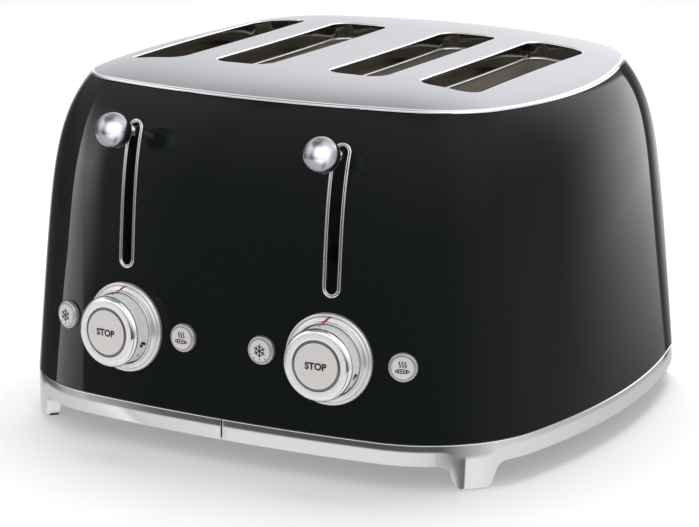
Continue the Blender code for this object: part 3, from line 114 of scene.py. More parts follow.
class Value:
    """A number of a shader that takes part in Python expressions."""

    def __init__(self, graph: "Graph", socket: bpy.types.NodeSocket) -> None:
        """Keep the graph and the socket that carries the number."""
        self.graph = graph
        self.socket = socket

    def _join(self, operation: str, first: object, second: object = 0.0) -> "Value":
        """Add a Math node.

        Args:
            operation: The node's operation.
            first: Its first value.
            second: Its second value.

        Returns:
            The node's result.
        """
        made = self.graph.node("ShaderNodeMath", {"operation": operation}, {0: first, 1: second})
        return Value(self.graph, made.outputs[0])

    def __add__(self, other: object) -> "Value":
        """This plus other."""
        return self._join("ADD", self, other)

    def __radd__(self, other: object) -> "Value":
        """Other plus this."""
        return self._join("ADD", other, self)

    def __sub__(self, other: object) -> "Value":
        """This minus other."""
        return self._join("SUBTRACT", self, other)

    def __rsub__(self, other: object) -> "Value":
        """Other minus this."""
        return self._join("SUBTRACT", other, self)

    def __mul__(self, other: object) -> "Value":
        """This times other."""
        return self._join("MULTIPLY", self, other)

    def __rmul__(self, other: object) -> "Value":
        """Other times this."""
        return self._join("MULTIPLY", other, self)

    def __truediv__(self, other: object) -> "Value":
        """This divided by other."""
        return self._join("DIVIDE", self, other)

    def __pow__(self, other: object) -> "Value":
        """This to a power."""
        return self._join("POWER", self, other)

    def at_least(self, limit: float) -> "Value":
        """The larger of this and the limit."""
        return self._join("MAXIMUM", self, limit)

    def at_most(self, limit: float) -> "Value":
        """The smaller of this and the limit."""
        return self._join("MINIMUM", self, limit)

    def sine(self) -> "Value":
        """The sine of this."""
        return self._join("SINE", self)

    def size(self) -> "Value":
        """This without its sign."""
        return self._join("ABSOLUTE", self)

    def degrees_up(self) -> "Value":
        """The angle in degrees whose sine this is."""
        return self._join("ARCSINE", self) * math.degrees(1)

    def degrees_round(self, other: "Value") -> "Value":
        """The heading in degrees of this against other."""
        return self._join("ARCTAN2", self, other) * math.degrees(1)

    def ease(self, low: float, high: float) -> "Value":
        """Rise smoothly from nought to one.

        Args:
            low: Where the rise starts.
            high: Where it ends.

        Returns:
            The eased share.
        """
        made = self.graph.node(
            "ShaderNodeMapRange",
            {"interpolation_type": "SMOOTHSTEP"},
            {"Value": self, "From Min": low, "From Max": high},
        )
        return Value(self.graph, made.outputs["Result"])


class Graph:
    """The nodes of one material or world."""

    def __init__(self, owner: bpy.types.Material | bpy.types.World) -> None:
        """Empty the owner's node tree and keep it.

        Args:
            owner: The material or world.
        """
        owner.use_nodes = True
        self.owner = owner
        self.tree = owner.node_tree
        self.tree.nodes.clear()

    def node(
        self,
        kind: str,
        settings: dict[str, object] | None = None,
        sockets: dict[str | int, object] | None = None,
    ) -> bpy.types.Node:
        """Add a node.

        Args:
            kind: The node's type.
            settings: Its own settings, set first.
            sockets: Values or links for its inputs, by name or number.

        Returns:
            The node.
        """
        made = self.tree.nodes.new(kind)
        for key, setting in (settings or {}).items():
            setattr(made, key, setting)
        for key, content in (sockets or {}).items():
            source = content.socket if isinstance(content, Value) else content
            if isinstance(source, bpy.types.NodeSocket):
                self.tree.links.new(source, made.inputs[key])
            else:
                made.inputs[key].default_value = source
        return made

    def show(self, surface: bpy.types.NodeSocket) -> None:
        """Make a shader the surface of the owner."""
        kind = "World" if isinstance(self.owner, bpy.types.World) else "Material"
        self.node(f"ShaderNodeOutput{kind}", None, {"Surface": surface})

    def where(self, scale: Sequence[float] = (1.0, 1.0, 1.0)) -> bpy.types.NodeSocket:
        """The piece's own coordinates, stretched.

        Args:
            scale: Factors along X, Y and Z.

        Returns:
            The vector socket.
        """
        place = self.node("ShaderNodeTexCoord").outputs["Object"]
        moved = self.node("ShaderNodeMapping", None, {"Vector": place, "Scale": tuple(scale)})
        return moved.outputs["Vector"]

    def parts(self, vector: bpy.types.NodeSocket) -> tuple[Value, Value, Value]:
        """Split a vector.

        Args:
            vector: The vector socket.

        Returns:
            Its X, Y and Z.
        """
        made = self.node("ShaderNodeSeparateXYZ", None, {0: vector})
        return tuple(Value(self, made.outputs[i]) for i in range(3))

    def noise(
        self, scale: float, stretch: Sequence[float] = (1.0, 1.0, 1.0), detail: float = 3.0
    ) -> Value:
        """Cloudy noise from 0 to 1.

        Args:
            scale: Clouds per metre.
            stretch: Factors along X, Y and Z.
            detail: How many finer layers it has.

        Returns:
            The noise.
        """
        made = self.node(
            "ShaderNodeTexNoise",
            None,
            {"Vector": self.where(stretch), "Scale": scale, "Detail": detail},
        )
        return Value(self, made.outputs["Fac"])

    def levels(self, value: Value, stops: Curve) -> Value:
        """A curve of straight pieces.

        Args:
            value: Where on the curve.
            stops: Places along the curve, rising, with its heights from nought up.

        Returns:
            The height of the curve.
        """
        low, high = stops[0][0], stops[-1][0]
        peak = max(height for _, height in stops)
        made = self.node("ShaderNodeValToRGB", None, {0: (value - low) / (high - low)})
        ramp = made.color_ramp
        while len(ramp.elements) < len(stops):
            ramp.elements.new(1.0)
        for element, (place, height) in zip(ramp.elements, stops):
            element.position = (place - low) / (high - low)
            element.color = (height / peak,) * 3 + (1.0,)
        return Value(self, made.outputs["Color"]) * peak

    def grey(self, level: Value) -> bpy.types.NodeSocket:
        """A grey of some brightness."""
        values = {0: (1.0, 1.0, 1.0), "Scale": level}
        return self.node("ShaderNodeVectorMath", {"operation": "SCALE"}, values).outputs[0]

    def mix(self, share: Value, first: Rgb, second: Rgb) -> bpy.types.NodeSocket:
        """Blend two colours.

        Args:
            share: How much of the second colour there is.
            first: The first display colour.
            second: The second display colour.

        Returns:
            The colour socket.
        """
        made = self.node(
            "ShaderNodeMix",
            {"data_type": "RGBA"},
            {0: share, 6: linear(first), 7: linear(second)},
        )
        return made.outputs[2]


@dataclass(frozen=True)
class Pattern:
    """What a finish varies over a surface: tone and dullness from 0 to 1, and height in metres."""

    tone: Value
    dull: Value
    height: Value
    depth: float


@dataclass(frozen=True)
class Finish:
    """A moulded or coated surface with a fine speckle."""

    name: str
    colour: Rgb
    deep: Rgb
    metallic: float = 0.0
    roughness: tuple[float, float] = (0.4, 0.5)
    specular: float = 0.5
    scale: float = 1500.0
    depth: float = 0.000004

    def material(self) -> bpy.types.Material:
        """The finish as a material, made once.

        Returns:
            The material.
        """
        found = bpy.data.materials.get(self.name)
        if found:
            return found
        made = bpy.data.materials.new(self.name)
        graph = Graph(made)
        pattern = self.pattern(graph)
        smooth, rough = self.roughness
        bump = graph.node(
            "ShaderNodeBump",
            None,
            {"Strength": 1.0, "Distance": pattern.depth, "Height": pattern.height},
        )
        shader = graph.node(
            "ShaderNodeBsdfPrincipled",
            None,
            {
                "Base Color": graph.mix(pattern.tone, self.deep, self.colour),
                "Roughness": pattern.dull * (rough - smooth) + smooth,
                "Metallic": self.metallic,
                "Specular IOR Level": self.specular,
                "Normal": bump.outputs["Normal"],
            },
        )
        graph.show(shader.outputs["BSDF"])
        return made

    def pattern(self, graph: Graph) -> Pattern:
        """Moulded speckle over slow clouds.

        Args:
            graph: The material's graph.

        Returns:
            The pattern.
        """
        fine = graph.noise(self.scale)
        clouds = graph.noise(25.0)
        return Pattern(fine * 0.35 + clouds * 0.65, clouds, fine, self.depth)


@dataclass(frozen=True)
class GlossPaint(Finish):
    """Deep gloss paint: a faint orange peel, with a little dust that dulls it."""

    def pattern(self, graph: Graph) -> Pattern:
        """Orange peel, clouds and dust.

        Args:
            graph: The material's graph.

        Returns:
            The pattern.
        """
        peel = graph.noise(self.scale, detail=1.0)
        dust = graph.noise(2600.0, detail=1.0).ease(0.66, 0.78)
        clouds = graph.noise(9.0)
        return Pattern(dust * 0.5 + clouds * 0.5, clouds * 0.6 + dust * 0.4, peel, self.depth)


@dataclass(frozen=True)
class Metal(Finish):
    """Bare or plated metal whose fine lines run one way."""

    grain: Grain = Grain.SPECKLE
    metallic: float = 1.0

    def pattern(self, graph: Graph) -> Pattern:
        """Lines along the grain over slow clouds.

        Args:
            graph: The material's graph.

        Returns:
            The pattern.
        """
        clouds = graph.noise(18.0)
        if self.grain is Grain.TURNED:
            x, y, _ = graph.parts(graph.where())
            radius = (x * x + y * y) ** 0.5
            wobble = graph.noise(90.0) * 1.5
            lines = (radius * self.scale * 4.0 + wobble).sine() * 0.5 + 0.5
        elif self.grain is Grain.SPECKLE:
            lines = graph.noise(self.scale)
        else:
            along_x = self.grain is Grain.ALONG_X
            stretch = (0.02, 1.0, 1.0) if along_x else (1.0, 1.0, 0.02)
            lines = graph.noise(self.scale, stretch, detail=4.0)
        return Pattern(lines * 0.5 + clouds * 0.5, lines * 0.4 + clouds * 0.6, lines, self.depth)


@dataclass(frozen=True)
class HeatedSteel(Finish):
    """Plain steel inside the chamber, browned in patches by the heat."""

    metallic: float = 1.0

    def pattern(self, graph: Graph) -> Pattern:
        """Brown patches, fine rolling lines and soot.

        Args:
            graph: The material's graph.

        Returns:
            The pattern.
        """
        patches = graph.noise(14.0, detail=5.0).ease(0.3, 0.7)
        lines = graph.noise(self.scale, (1.0, 1.0, 0.05))
        soot = graph.noise(60.0, detail=6.0)
        return Pattern(patches * 0.7 + lines * 0.3, soot, lines, self.depth)


@dataclass(frozen=True)
class Mica(Finish):
    """Pressed mica board with its pale flakes."""

    def pattern(self, graph: Graph) -> Pattern:
        """Flakes of several sizes.

        Args:
            graph: The material's graph.

        Returns:
            The pattern.
        """
        cells = graph.node(
            "ShaderNodeTexVoronoi", None, {"Vector": graph.where(), "Scale": self.scale}
        )
        flakes = Value(graph, cells.outputs["Distance"])
        clouds = graph.noise(40.0)
        return Pattern(flakes.ease(0.1, 0.6) * 0.6 + clouds * 0.4, flakes, flakes, self.depth)


@dataclass(frozen=True)
class Lined(Finish):
    """A surface of fine parallel turns or tracks across Z."""

    def pattern(self, graph: Graph) -> Pattern:
        """Even lines with a slow waver.

        Args:
            graph: The material's graph.

        Returns:
            The pattern.
        """
        _, y, z = graph.parts(graph.where())
        waver = graph.noise(60.0) * 2.0
        lines = (z * self.scale + y * 12.0 + waver).sine() * 0.5 + 0.5
        return Pattern(lines, 1 - lines, lines, self.depth)


PAINT = GlossPaint(
    "gloss_black_paint", (25, 29, 28), (20, 24, 23), 0.0, (0.02, 0.04), 0.1, 420.0, 0.0000010
)
SATIN_TOP = Metal(
    "satin_steel_top", (192, 193, 199), (184, 185, 191), 1.0, (0.27, 0.36), 0.5, 2200.0,
    0.0000006, Grain.ALONG_X,
)
BRIGHT = Metal(
    "polished_steel", (242, 242, 243), (230, 230, 232), 1.0, (0.05, 0.11), 0.5, 900.0, 0.0000004
)
BALL = Metal(
    "polished_ball", (184, 185, 190), (174, 175, 181), 1.0, (0.17, 0.23), 0.5, 700.0, 0.0000004
)
SILVER = Metal(
    "satin_silver_band", (226, 226, 226), (220, 220, 220), 1.0, (0.03, 0.06), 0.5, 2400.0,
    0.0000001, Grain.UPRIGHT,
)
KNOB_SILVER = Metal(
    "satin_silver_knob", (246, 246, 248), (238, 238, 240), 0.2, (0.17, 0.25), 0.5, 1800.0,
    0.0000006, Grain.TURNED,
)
COLLAR_SILVER = Metal(
    "stepped_silver_collar", (232, 232, 231), (224, 224, 223), 0.6, (0.14, 0.2), 0.5, 1800.0,
    0.0000006, Grain.TURNED,
)
DISC_SILVER = Metal(
    "spun_silver_disc", (228, 224, 222), (216, 212, 210), 0.2, (0.34, 0.44), 0.5, 2600.0,
    0.0000012, Grain.TURNED,
)
# Dark metal for the stop disc's edge and the dial's back; it also paints shade in the dial's
# groove.
DARK_RING_AND_GROOVE_SHADE = Metal(
    "dark_metal_ring_and_groove_shade", (132, 129, 127), (108, 106, 104), 0.5, (0.2, 0.3), 0.5, 2000.0,
    0.0000006, Grain.TURNED,
)
SEAM_GREY = Finish(
    "seam_trim_grey", (98, 99, 100), (82, 83, 84), 0.0, (0.25, 0.4), 0.5, 1800.0, 0.000002
)
BAND_WHITE = Finish(
    "number_band_white", (246, 250, 247), (240, 244, 241), 0.0, (0.3, 0.42), 0.5, 2400.0, 0.000002
)
RING_SILVER = Metal(
    "silver_button_rim", (200, 199, 197), (186, 185, 184), 0.6, (0.2, 0.3), 0.5, 2000.0,
    0.0000006, Grain.TURNED,
)
# Black print; it also paints shade black in the lever surrounds' grooves and the screws' cross
# recesses.
PRINT_AND_SHADE_BLACK = Finish("black_print_and_painted_shade", (26, 25, 27), (18, 18, 20), 0.0, (0.4, 0.6), 0.4, 3000.0, 0.000002)
RED_INK = Finish("red_print", (186, 34, 30), (158, 24, 24), 0.0, (0.35, 0.5), 0.4, 3000.0, 0.000002)
COLLAR_LINER = HeatedSteel(
    "slot_liner_steel", (182, 177, 167), (148, 143, 134), 0.3, (0.32, 0.5), 0.5, 1200.0, 0.000002
)
COLLAR_WALL = HeatedSteel(
    "slot_collar_steel", (158, 155, 151), (126, 122, 117), 1.0, (0.08, 0.16), 0.5, 900.0, 0.000001
)
CHAMBER_STEEL = HeatedSteel(
    "chamber_steel", (200, 189, 176), (150, 140, 128), 0.3, (0.38, 0.58), 0.5, 1200.0, 0.000004
)
LIFT_STEEL = Metal(
    "lift_steel", (176, 176, 178), (150, 150, 152), 1.0, (0.28, 0.42), 0.5, 1600.0, 0.000002,
    Grain.UPRIGHT,
)
ZINC = Metal(
    "tray_sheet", (190, 192, 194), (168, 170, 173), 1.0, (0.3, 0.42), 0.5, 1300.0, 0.000003,
    Grain.ALONG_X,
)
MICA = Mica("mica_board", (206, 186, 150), (160, 134, 98), 0.0, (0.4, 0.7), 0.5, 420.0, 0.00002)
RIBBON = Lined(
    "heater_ribbon", (128, 116, 108), (88, 78, 72), 0.8, (0.35, 0.5), 0.5, 9000.0, 0.000004
)
RUBBER = Finish("black_rubber", (34, 34, 35), (24, 24, 25), 0.0, (0.6, 0.8), 0.4, 1400.0, 0.00001)
BASE = Finish("moulded_base", (40, 40, 41), (28, 28, 29), 0.0, (0.45, 0.65), 0.5, 1100.0, 0.00001)
BOARD = Lined("circuit_board", (30, 104, 58), (18, 74, 40), 0.0, (0.3, 0.5), 0.5, 4200.0, 0.00001)
SWITCH = Finish(
    "switch_moulding", (54, 54, 58), (40, 40, 44), 0.0, (0.35, 0.5), 0.5, 1600.0, 0.000008
)
COIL = Lined(
    "magnet_winding", (176, 104, 62), (120, 64, 38), 0.8, (0.25, 0.45), 0.5, 16000.0, 0.00002
)
SCREW = Metal(
    "zinc_screw", (198, 198, 196), (170, 170, 168), 1.0, (0.25, 0.4), 0.5, 1500.0, 0.000002
)

NODE_FINISHES: tuple[tuple[str, Finish], ...] = (
    ("foot_pad", RUBBER),
    ("top_gasket", RUBBER),
    ("base_plate", BASE),
    ("front_bulkhead", CHAMBER_STEEL),
    ("rear_bulkhead", CHAMBER_STEEL),
    ("bread_guide", CHAMBER_STEEL),
    ("heat_shield", CHAMBER_STEEL),
    ("bread_rack", LIFT_STEEL),
    ("lift_carriage", LIFT_STEEL),
    ("guide_rod", LIFT_STEEL),
    ("lift_spring", LIFT_STEEL),
    ("latch_magnet", COIL),
    ("heater", MICA),
    ("control_board", BOARD),
    ("browning_switch", SWITCH),
)


@dataclass(frozen=True)
class BodyForm:
    """The body's outline at each height: a front, a corner and a side arc in each quarter."""

    half_length: float = 0.170
    half_depth: float = 0.1581
    side_lean: float = 0.0134
    front_lean: float = 0.0098
    side_shoulder: float = 0.0160
    front_shoulder: float = 0.0154
    shoulder_power: float = 8.0
    front_radius: tuple[float, float] = (0.834, 0.314)
    side_radius: tuple[float, float] = (0.390, 0.286)
    corner_radius: tuple[float, float] = (0.0765, 0.054)
    foot_z: float = 0.0262
    shoulder_z: float = 0.1944
    edge_arch: float = 0.0052
    counts: tuple[int, int, int] = (22, 20, 14)

    def rise(self, z: Array | float) -> Array:
        """The height as a share of the shell's own."""
        return np.clip((np.asarray(z, float) - self.foot_z) / (self.shoulder_z - self.foot_z), 0, 1)

    def half_sizes(self, z: Array | float) -> tuple[Array, Array]:
        """Half length and half depth of the outline.

        Args:
            z: One or more heights.

        Returns:
            Half length and half depth there.
        """
        rise = self.rise(z)
        bend = rise**self.shoulder_power
        return (
            self.half_length - self.side_lean * rise - self.side_shoulder * bend,
            self.half_depth - self.front_lean * rise - self.front_shoulder * bend,
        )

    def arcs(self, z: Array | float) -> list[tuple[Array, ...]]:
        """The three arcs of the right front quarter, folded to positive Y.

        Args:
            z: One or more heights.

        Returns:
            For each arc its centre's X and Y, its radius, and its first and last angle.
        """
        rise = self.rise(z)
        length, depth = self.half_sizes(z)
        front, side, corner = (
            low + (top - low) * rise
            for low, top in (self.front_radius, self.side_radius, self.corner_radius)
        )
        front_y, side_x = front - depth, length - side
        span = np.hypot(side_x, front_y)
        from_front, from_side = front - corner, side - corner
        along = (from_front**2 - from_side**2 + span**2) / (2 * span)
        across = np.sqrt(np.maximum(from_front**2 - along**2, 0.0))
        unit_x, unit_y = side_x / span, -front_y / span
        corner_x = unit_x * along - unit_y * across
        corner_y = front_y + unit_y * along + unit_x * across
        first = np.arctan2(corner_y - front_y, corner_x)
        second = np.arctan2(corner_y, corner_x - side_x)
        quarter = np.full_like(first, -math.pi / 2)
        return [
            (np.zeros_like(first), front_y, front, quarter, first),
            (corner_x, corner_y, corner, first, second),
            (side_x, np.zeros_like(first), side, second, np.zeros_like(first)),
        ]

    def quarter(self, z: float, inset: float = 0.0) -> Array:
        """Points of the right front quarter from the front centre to the side's middle.

        Args:
            z: The height.
            inset: How far inside the outline they lie.

        Returns:
            Points of the plan.
        """
        points: list[tuple[float, float]] = []
        for arc, count in zip(self.arcs(z), self.counts):
            x, y, radius, start, end = (float(number) for number in arc)
            for angle in np.linspace(start, end, count + 1)[:-1]:
                reach = radius - inset
                points.append((x + reach * math.cos(angle), y + reach * math.sin(angle)))
        points.append((float(self.half_sizes(z)[0]) - inset, 0.0))
        return np.array(points)

    def outline(self, z: float, inset: float = 0.0) -> Array:
        """The closed outline at a height.

        Args:
            z: The height.
            inset: How far inside the outline it lies.

        Returns:
            Points of the plan.
        """
        return full_ring(self.quarter(z, inset))

    def arch(self, z: Array | float, y: Array | float, share: Array | float = 1.0) -> Array:
        """How far the upper edge lifts towards the front and rear centre.

        Args:
            z: Level on the body.
            y: Depth.
            share: Share of the top panel's outline.

        Returns:
            The lift.
        """
        return self.edge_arch * share * self.rise(z) ** 3 * (y / self.half_sizes(z)[1]) ** 2

    def ring(self, z: float, inset: float = 0.0) -> Array:
        """The outline in space, with the arch of the upper edge."""
        plan = self.outline(z, inset)
        return np.column_stack([plan, z + self.arch(z, plan[:, 1])])

    def reach(self, points: Array) -> Array:
        """How far points lie outside the body's face, measured in plan.

        Args:
            points: Points in space.

        Returns:
            Distances, below nought inside.
        """
        x, y, z = np.abs(points[:, 0]), -np.abs(points[:, 1]), points[:, 2]
        level = z
        for _ in range(5):
            level = z - self.arch(level, y)
        found = None
        for x0, y0, radius, start, end in reversed(self.arcs(level)):
            angle = np.arctan2(y - y0, x - x0)
            distance = np.hypot(x - x0, y - y0) - radius
            found = distance if found is None else np.where(angle <= end, distance, found)
        return found

    def normals(self, points: Array) -> Array:
        """Outward unit normals of the body's face near points.

        Args:
            points: Points in space.

        Returns:
            One unit vector for each point.
        """
        shifts = np.eye(3) * 0.00004
        slopes = [self.reach(points + shift) - self.reach(points - shift) for shift in shifts]
        stacked = np.column_stack(slopes)
        return stacked / np.linalg.norm(stacked, axis=1, keepdims=True)

    def front_y(self, x: Array | float, z: float) -> Array:
        """Depth of the front face.

        Args:
            x: One or more places along the front.
            z: The level of the outline.

        Returns:
            Y of the face there.
        """
        reach = np.abs(np.asarray(x, float))
        found = None
        for x0, y0, radius, _, end in reversed(self.arcs(z)):
            depth = y0 - np.sqrt(np.maximum(radius**2 - (reach - x0) ** 2, 0.0))
            held = reach <= x0 + radius * np.cos(end)
            found = depth if found is None else np.where(held, depth, found)
        return found

    def front_point(self, x: float, z: float) -> Vector:
        """The point of the arched front face at a place and true height.

        Args:
            x: Place along the front.
            z: Height.

        Returns:
            The point.
        """
        level = z
        for _ in range(6):
            level = z - float(self.arch(level, float(self.front_y(x, level))))
        return Vector((x, float(self.front_y(x, level)), z))

    def front_normal(self, x: float, z: float) -> Vector:
        """Outward unit normal of the front face at a place and height.

        Args:
            x: Place along the front.
            z: Height.

        Returns:
            The unit vector.
        """
        step = 0.0005
        across = self.front_point(x + step, z).y - self.front_point(x - step, z).y
        upward = self.front_point(x, z + step).y - self.front_point(x, z - step).y
        return Vector((across / (2 * step), -1.0, upward / (2 * step))).normalized()

    def control(self, x: float, z: float = 0.068, tilt: float = math.radians(2)) -> Matrix:
        """Place of a control on the front, with Z outward and Y up.

        Args:
            x: Place along the front.
            z: Height of its middle.
            tilt: How far its axis leans upward.

        Returns:
            The control's matrix.
        """
        normal = self.front_normal(x, z)
        heading = math.atan2(normal.x, -normal.y)
        turn = Euler((math.pi / 2 - tilt, 0.0, heading)).to_matrix().to_4x4()
        return Matrix.Translation(self.front_point(x, z)) @ turn


FORM = BodyForm()


def full_ring(quarter: Array) -> Array:
    """Mirror one quarter into a closed ring.

    Args:
        quarter: Rows of X, Y and anything else, from the front centre to the side's middle.

    Returns:
        The rows of the whole ring, anticlockwise.
    """
    flip_y, flip_x, both = quarter.copy(), quarter.copy(), quarter.copy()
    flip_y[:, 1] *= -1
    flip_x[:, 0] *= -1
    both[:, :2] *= -1
    return np.vstack([quarter[:-1], flip_y[:0:-1], both[:-1], flip_x[:0:-1]])


def rounded_rectangle(half_x: float, half_y: float, radius: float, steps: int = 9) -> Array:
    """A closed outline round the origin.

    Args:
        half_x: Half its width.
        half_y: Half its depth.
        radius: Radius of its corners.
        steps: Steps in each corner.

    Returns:
        Points of the plan, anticlockwise, with extra ones along the sides.
    """
    points: list[Array] = []
    corners = np.array(((1, -1), (1, 1), (-1, 1), (-1, -1))) * (half_x - radius, half_y - radius)
    for turn, middle in enumerate(corners):
        for angle in np.linspace(turn - 1, turn, steps + 1) * math.pi / 2:
            out = np.array((math.cos(angle), math.sin(angle))) * radius
            points.append(middle + out)
        last, after = points[-1], corners[(turn + 1) % 4] + out
        extra = (12, 3)[turn % 2]
        points += [last + (after - last) * i / extra for i in range(1, extra)]
    return np.array(points)


class Form:
    """A mesh in the making: its points, its faces and the number of each face's finish."""

    def __init__(self) -> None:
        """Start with nothing."""
        self.points: list[Point] = []
        self.faces: list[tuple[int, ...]] = []
        self.marks: list[int] = []

    def add(
        self, points: Iterable[Sequence[float]], faces: Iterable[Sequence[int]], mark: int = 0
    ) -> None:
        """Add points and faces.

        Args:
            points: The new points.
            faces: Faces by number of the new points.
            mark: Number of the faces' finish.
        """
        start = len(self.points)
        self.points.extend(tuple(float(number) for number in point) for point in points)
        for face in faces:
            self.faces.append(tuple(start + number for number in face))
            self.marks.append(mark)

    def merge(self, other: "Form", matrix: Matrix | None = None, mark: int = 0) -> None:
        """Add another form.

        Args:
            other: The form.
            matrix: Where it goes.
            mark: What is added to its finish numbers.
        """
        points = other.points
        if matrix is not None:
            points = [tuple(matrix @ Vector(point)) for point in points]
        start = len(self.points)
        self.points.extend(points)
        self.faces.extend(tuple(start + number for number in face) for face in other.faces)
        self.marks.extend(mark + number for number in other.marks)

    def rows(
        self,
        rows: Array,
        ring: bool = True,
        loop: bool = False,
        caps: bool = False,
        mark: int = 0,
    ) -> None:
        """Skin rows of points.

        Args:
            rows: Rows, points and coordinates.
            ring: Whether each row is closed.
            loop: Whether the last row joins the first.
            caps: Whether the first and last row are filled.
            mark: Number of the faces' finish.
        """
        count, width = rows.shape[:2]
        faces: list[tuple[int, ...]] = []
        for i in range(count if loop else count - 1):
            j = (i + 1) % count
            for k in range(width if ring else width - 1):
                m = (k + 1) % width
                faces.append((i * width + k, i * width + m, j * width + m, j * width + k))
        if caps:
            faces.append(tuple(reversed(range(width))))
            faces.append(tuple((count - 1) * width + k for k in range(width)))
        self.add(rows.reshape(-1, 3), faces, mark)

    def turned(
        self,
        profile: Sequence[Pair],
        sides: int = 72,
        loop: bool = False,
        mark: int = 0,
    ) -> None:
        """Turn a profile about Z.

        Args:
            profile: Radius and height of its points; a radius of nought closes an end.
            sides: How many steps the turn has.
            loop: Whether the profile is closed.
            mark: Number of the faces' finish.
        """
        angles = np.linspace(0, 2 * math.pi, sides, endpoint=False)
        rings = [(radius, z) for radius, z in profile if radius > 0]
        start = len(self.points)
        circle = np.column_stack([np.cos(angles), np.sin(angles)])
        rows = np.array([np.column_stack([circle * r, np.full(sides, z)]) for r, z in rings])
        self.rows(rows, loop=loop, mark=mark)
        ends = ((profile[0], start), (profile[-1], start + (len(rings) - 1) * sides))
        for (radius, z), base in ends:
            if radius == 0:
                tip = len(self.points)
                self.points.append((0.0, 0.0, z))
                for k in range(sides):
                    self.faces.append((tip, base + k, base + (k + 1) % sides))
                    self.marks.append(mark)

    def mesh(self, name: str, finishes: Sequence[Finish]) -> bpy.types.Mesh:
        """Make the mesh, with its faces turned outward.

        Args:
            name: The mesh's name.
            finishes: Its finishes in the order of their numbers.

        Returns:
            The mesh.
        """
        made = bpy.data.meshes.new(name)
        made.from_pydata(self.points, [], self.faces)
        made.polygons.foreach_set("material_index", self.marks)
        for finish in finishes:
            made.materials.append(finish.material())
        work = bmesh.new()
        work.from_mesh(made)
        bmesh.ops.remove_doubles(work, verts=work.verts, dist=1e-7)
        bmesh.ops.recalc_face_normals(work, faces=work.faces)
        work.to_mesh(made)
        work.free()
        return made

    def piece(
        self,
        name: str,
        finishes: Sequence[Finish],
        matrix: Matrix = BODY,
        sharp: float = 34.0,
    ) -> bpy.types.Object:
        """Make the object, smooth but for its sharp edges.

        Args:
            name: The piece's name.
            finishes: Its finishes in the order of their numbers.
            matrix: Where it goes.
            sharp: Angle in degrees from which an edge stays sharp.

        Returns:
            The object.
        """
        mesh = self.mesh(name, finishes)
        mesh.polygons.foreach_set("use_smooth", [True] * len(mesh.polygons))
        mesh.set_sharp_from_angle(angle=math.radians(sharp))
        made = bpy.data.objects.new(name, mesh)
        bpy.context.scene.collection.objects.link(made)
        made.matrix_world = matrix
        return made


def install(piece: bpy.types.Object, body: str, slot: str, *replaced: str) -> bpy.types.Object:
    """Let a piece ride on its body and hide the nodes that it replaces.

    Args:
        piece: The piece, in place.
        body: Name of the body that carries it.
        slot: Not used.
        replaced: Names of the nodes that it replaces.

    Returns:
        The piece.
    """
    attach(piece, body)
    if replaced:
        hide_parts(*replaced)
    LOG.info("%s rides on %s, %d faces", piece.name, body, len(piece.data.polygons))
    return piece


def cut(target: bpy.types.Object, tool: Form) -> None:
    """Cut a form out of a piece.

    Args:
        target: The piece.
        tool: Closed forms, in the piece's own frame.
    """
    cutter = tool.piece("cutter", (), target.matrix_world.copy())
    change = target.modifiers.new("holes", "BOOLEAN")
    change.operation = "DIFFERENCE"
    change.solver = "EXACT"
    change.object = cutter
    bpy.context.view_layer.update()
    state = target.evaluated_get(bpy.context.evaluated_depsgraph_get())
    result = bpy.data.meshes.new_from_object(state)
    target.modifiers.clear()
    before, target.data = target.data, result
    bpy.data.meshes.remove(before)
    bpy.data.objects.remove(cutter)


def corner_points(mesh: bpy.types.Mesh) -> Array:
    """The number of the point at each corner of a mesh.

    Args:
        mesh: The mesh.

    Returns:
        The numbers.
    """
    corners = np.zeros(len(mesh.loops), int)
    mesh.loops.foreach_get("vertex_index", corners)
    return corners


def at_corners(mesh: bpy.types.Mesh, values: Array) -> Array:
    """Repeat what each polygon has at each of its corners.

    Args:
        mesh: The mesh.
        values: A number or row for each polygon.

    Returns:
        A number or row for each corner.
    """
    totals = np.zeros(len(mesh.polygons), int)
    mesh.polygons.foreach_get("loop_total", totals)
    return np.repeat(values, totals, axis=0)


def set_normals(mesh: bpy.types.Mesh, wanted: Array, least: float = 0.6) -> None:
    """Give the corners of a mesh the exact normals of the surface they lie on.

    Args:
        mesh: The mesh.
        wanted: The surface's unit normal at each point.
        least: How closely a face must agree with it, either way round, to take it.
    """
    flat = np.zeros(len(mesh.polygons) * 3)
    mesh.polygons.foreach_get("normal", flat)
    own = at_corners(mesh, flat.reshape(-1, 3))
    exact = wanted[corner_points(mesh)]
    agreement = np.sum(own * exact, axis=1, keepdims=True)
    chosen = np.where(agreement > least, exact, np.where(agreement < -least, -exact, own))
    mesh.polygons.foreach_set("use_smooth", [True] * len(mesh.polygons))
    mesh.normals_split_custom_set([tuple(row) for row in chosen])


def points_of(mesh: bpy.types.Mesh) -> Array:
    """The points of a mesh as rows.

    Args:
        mesh: The mesh.

    Returns:
        The rows.
    """
    flat = np.zeros(len(mesh.vertices) * 3)
    mesh.vertices.foreach_get("co", flat)
    return flat.reshape(-1, 3)


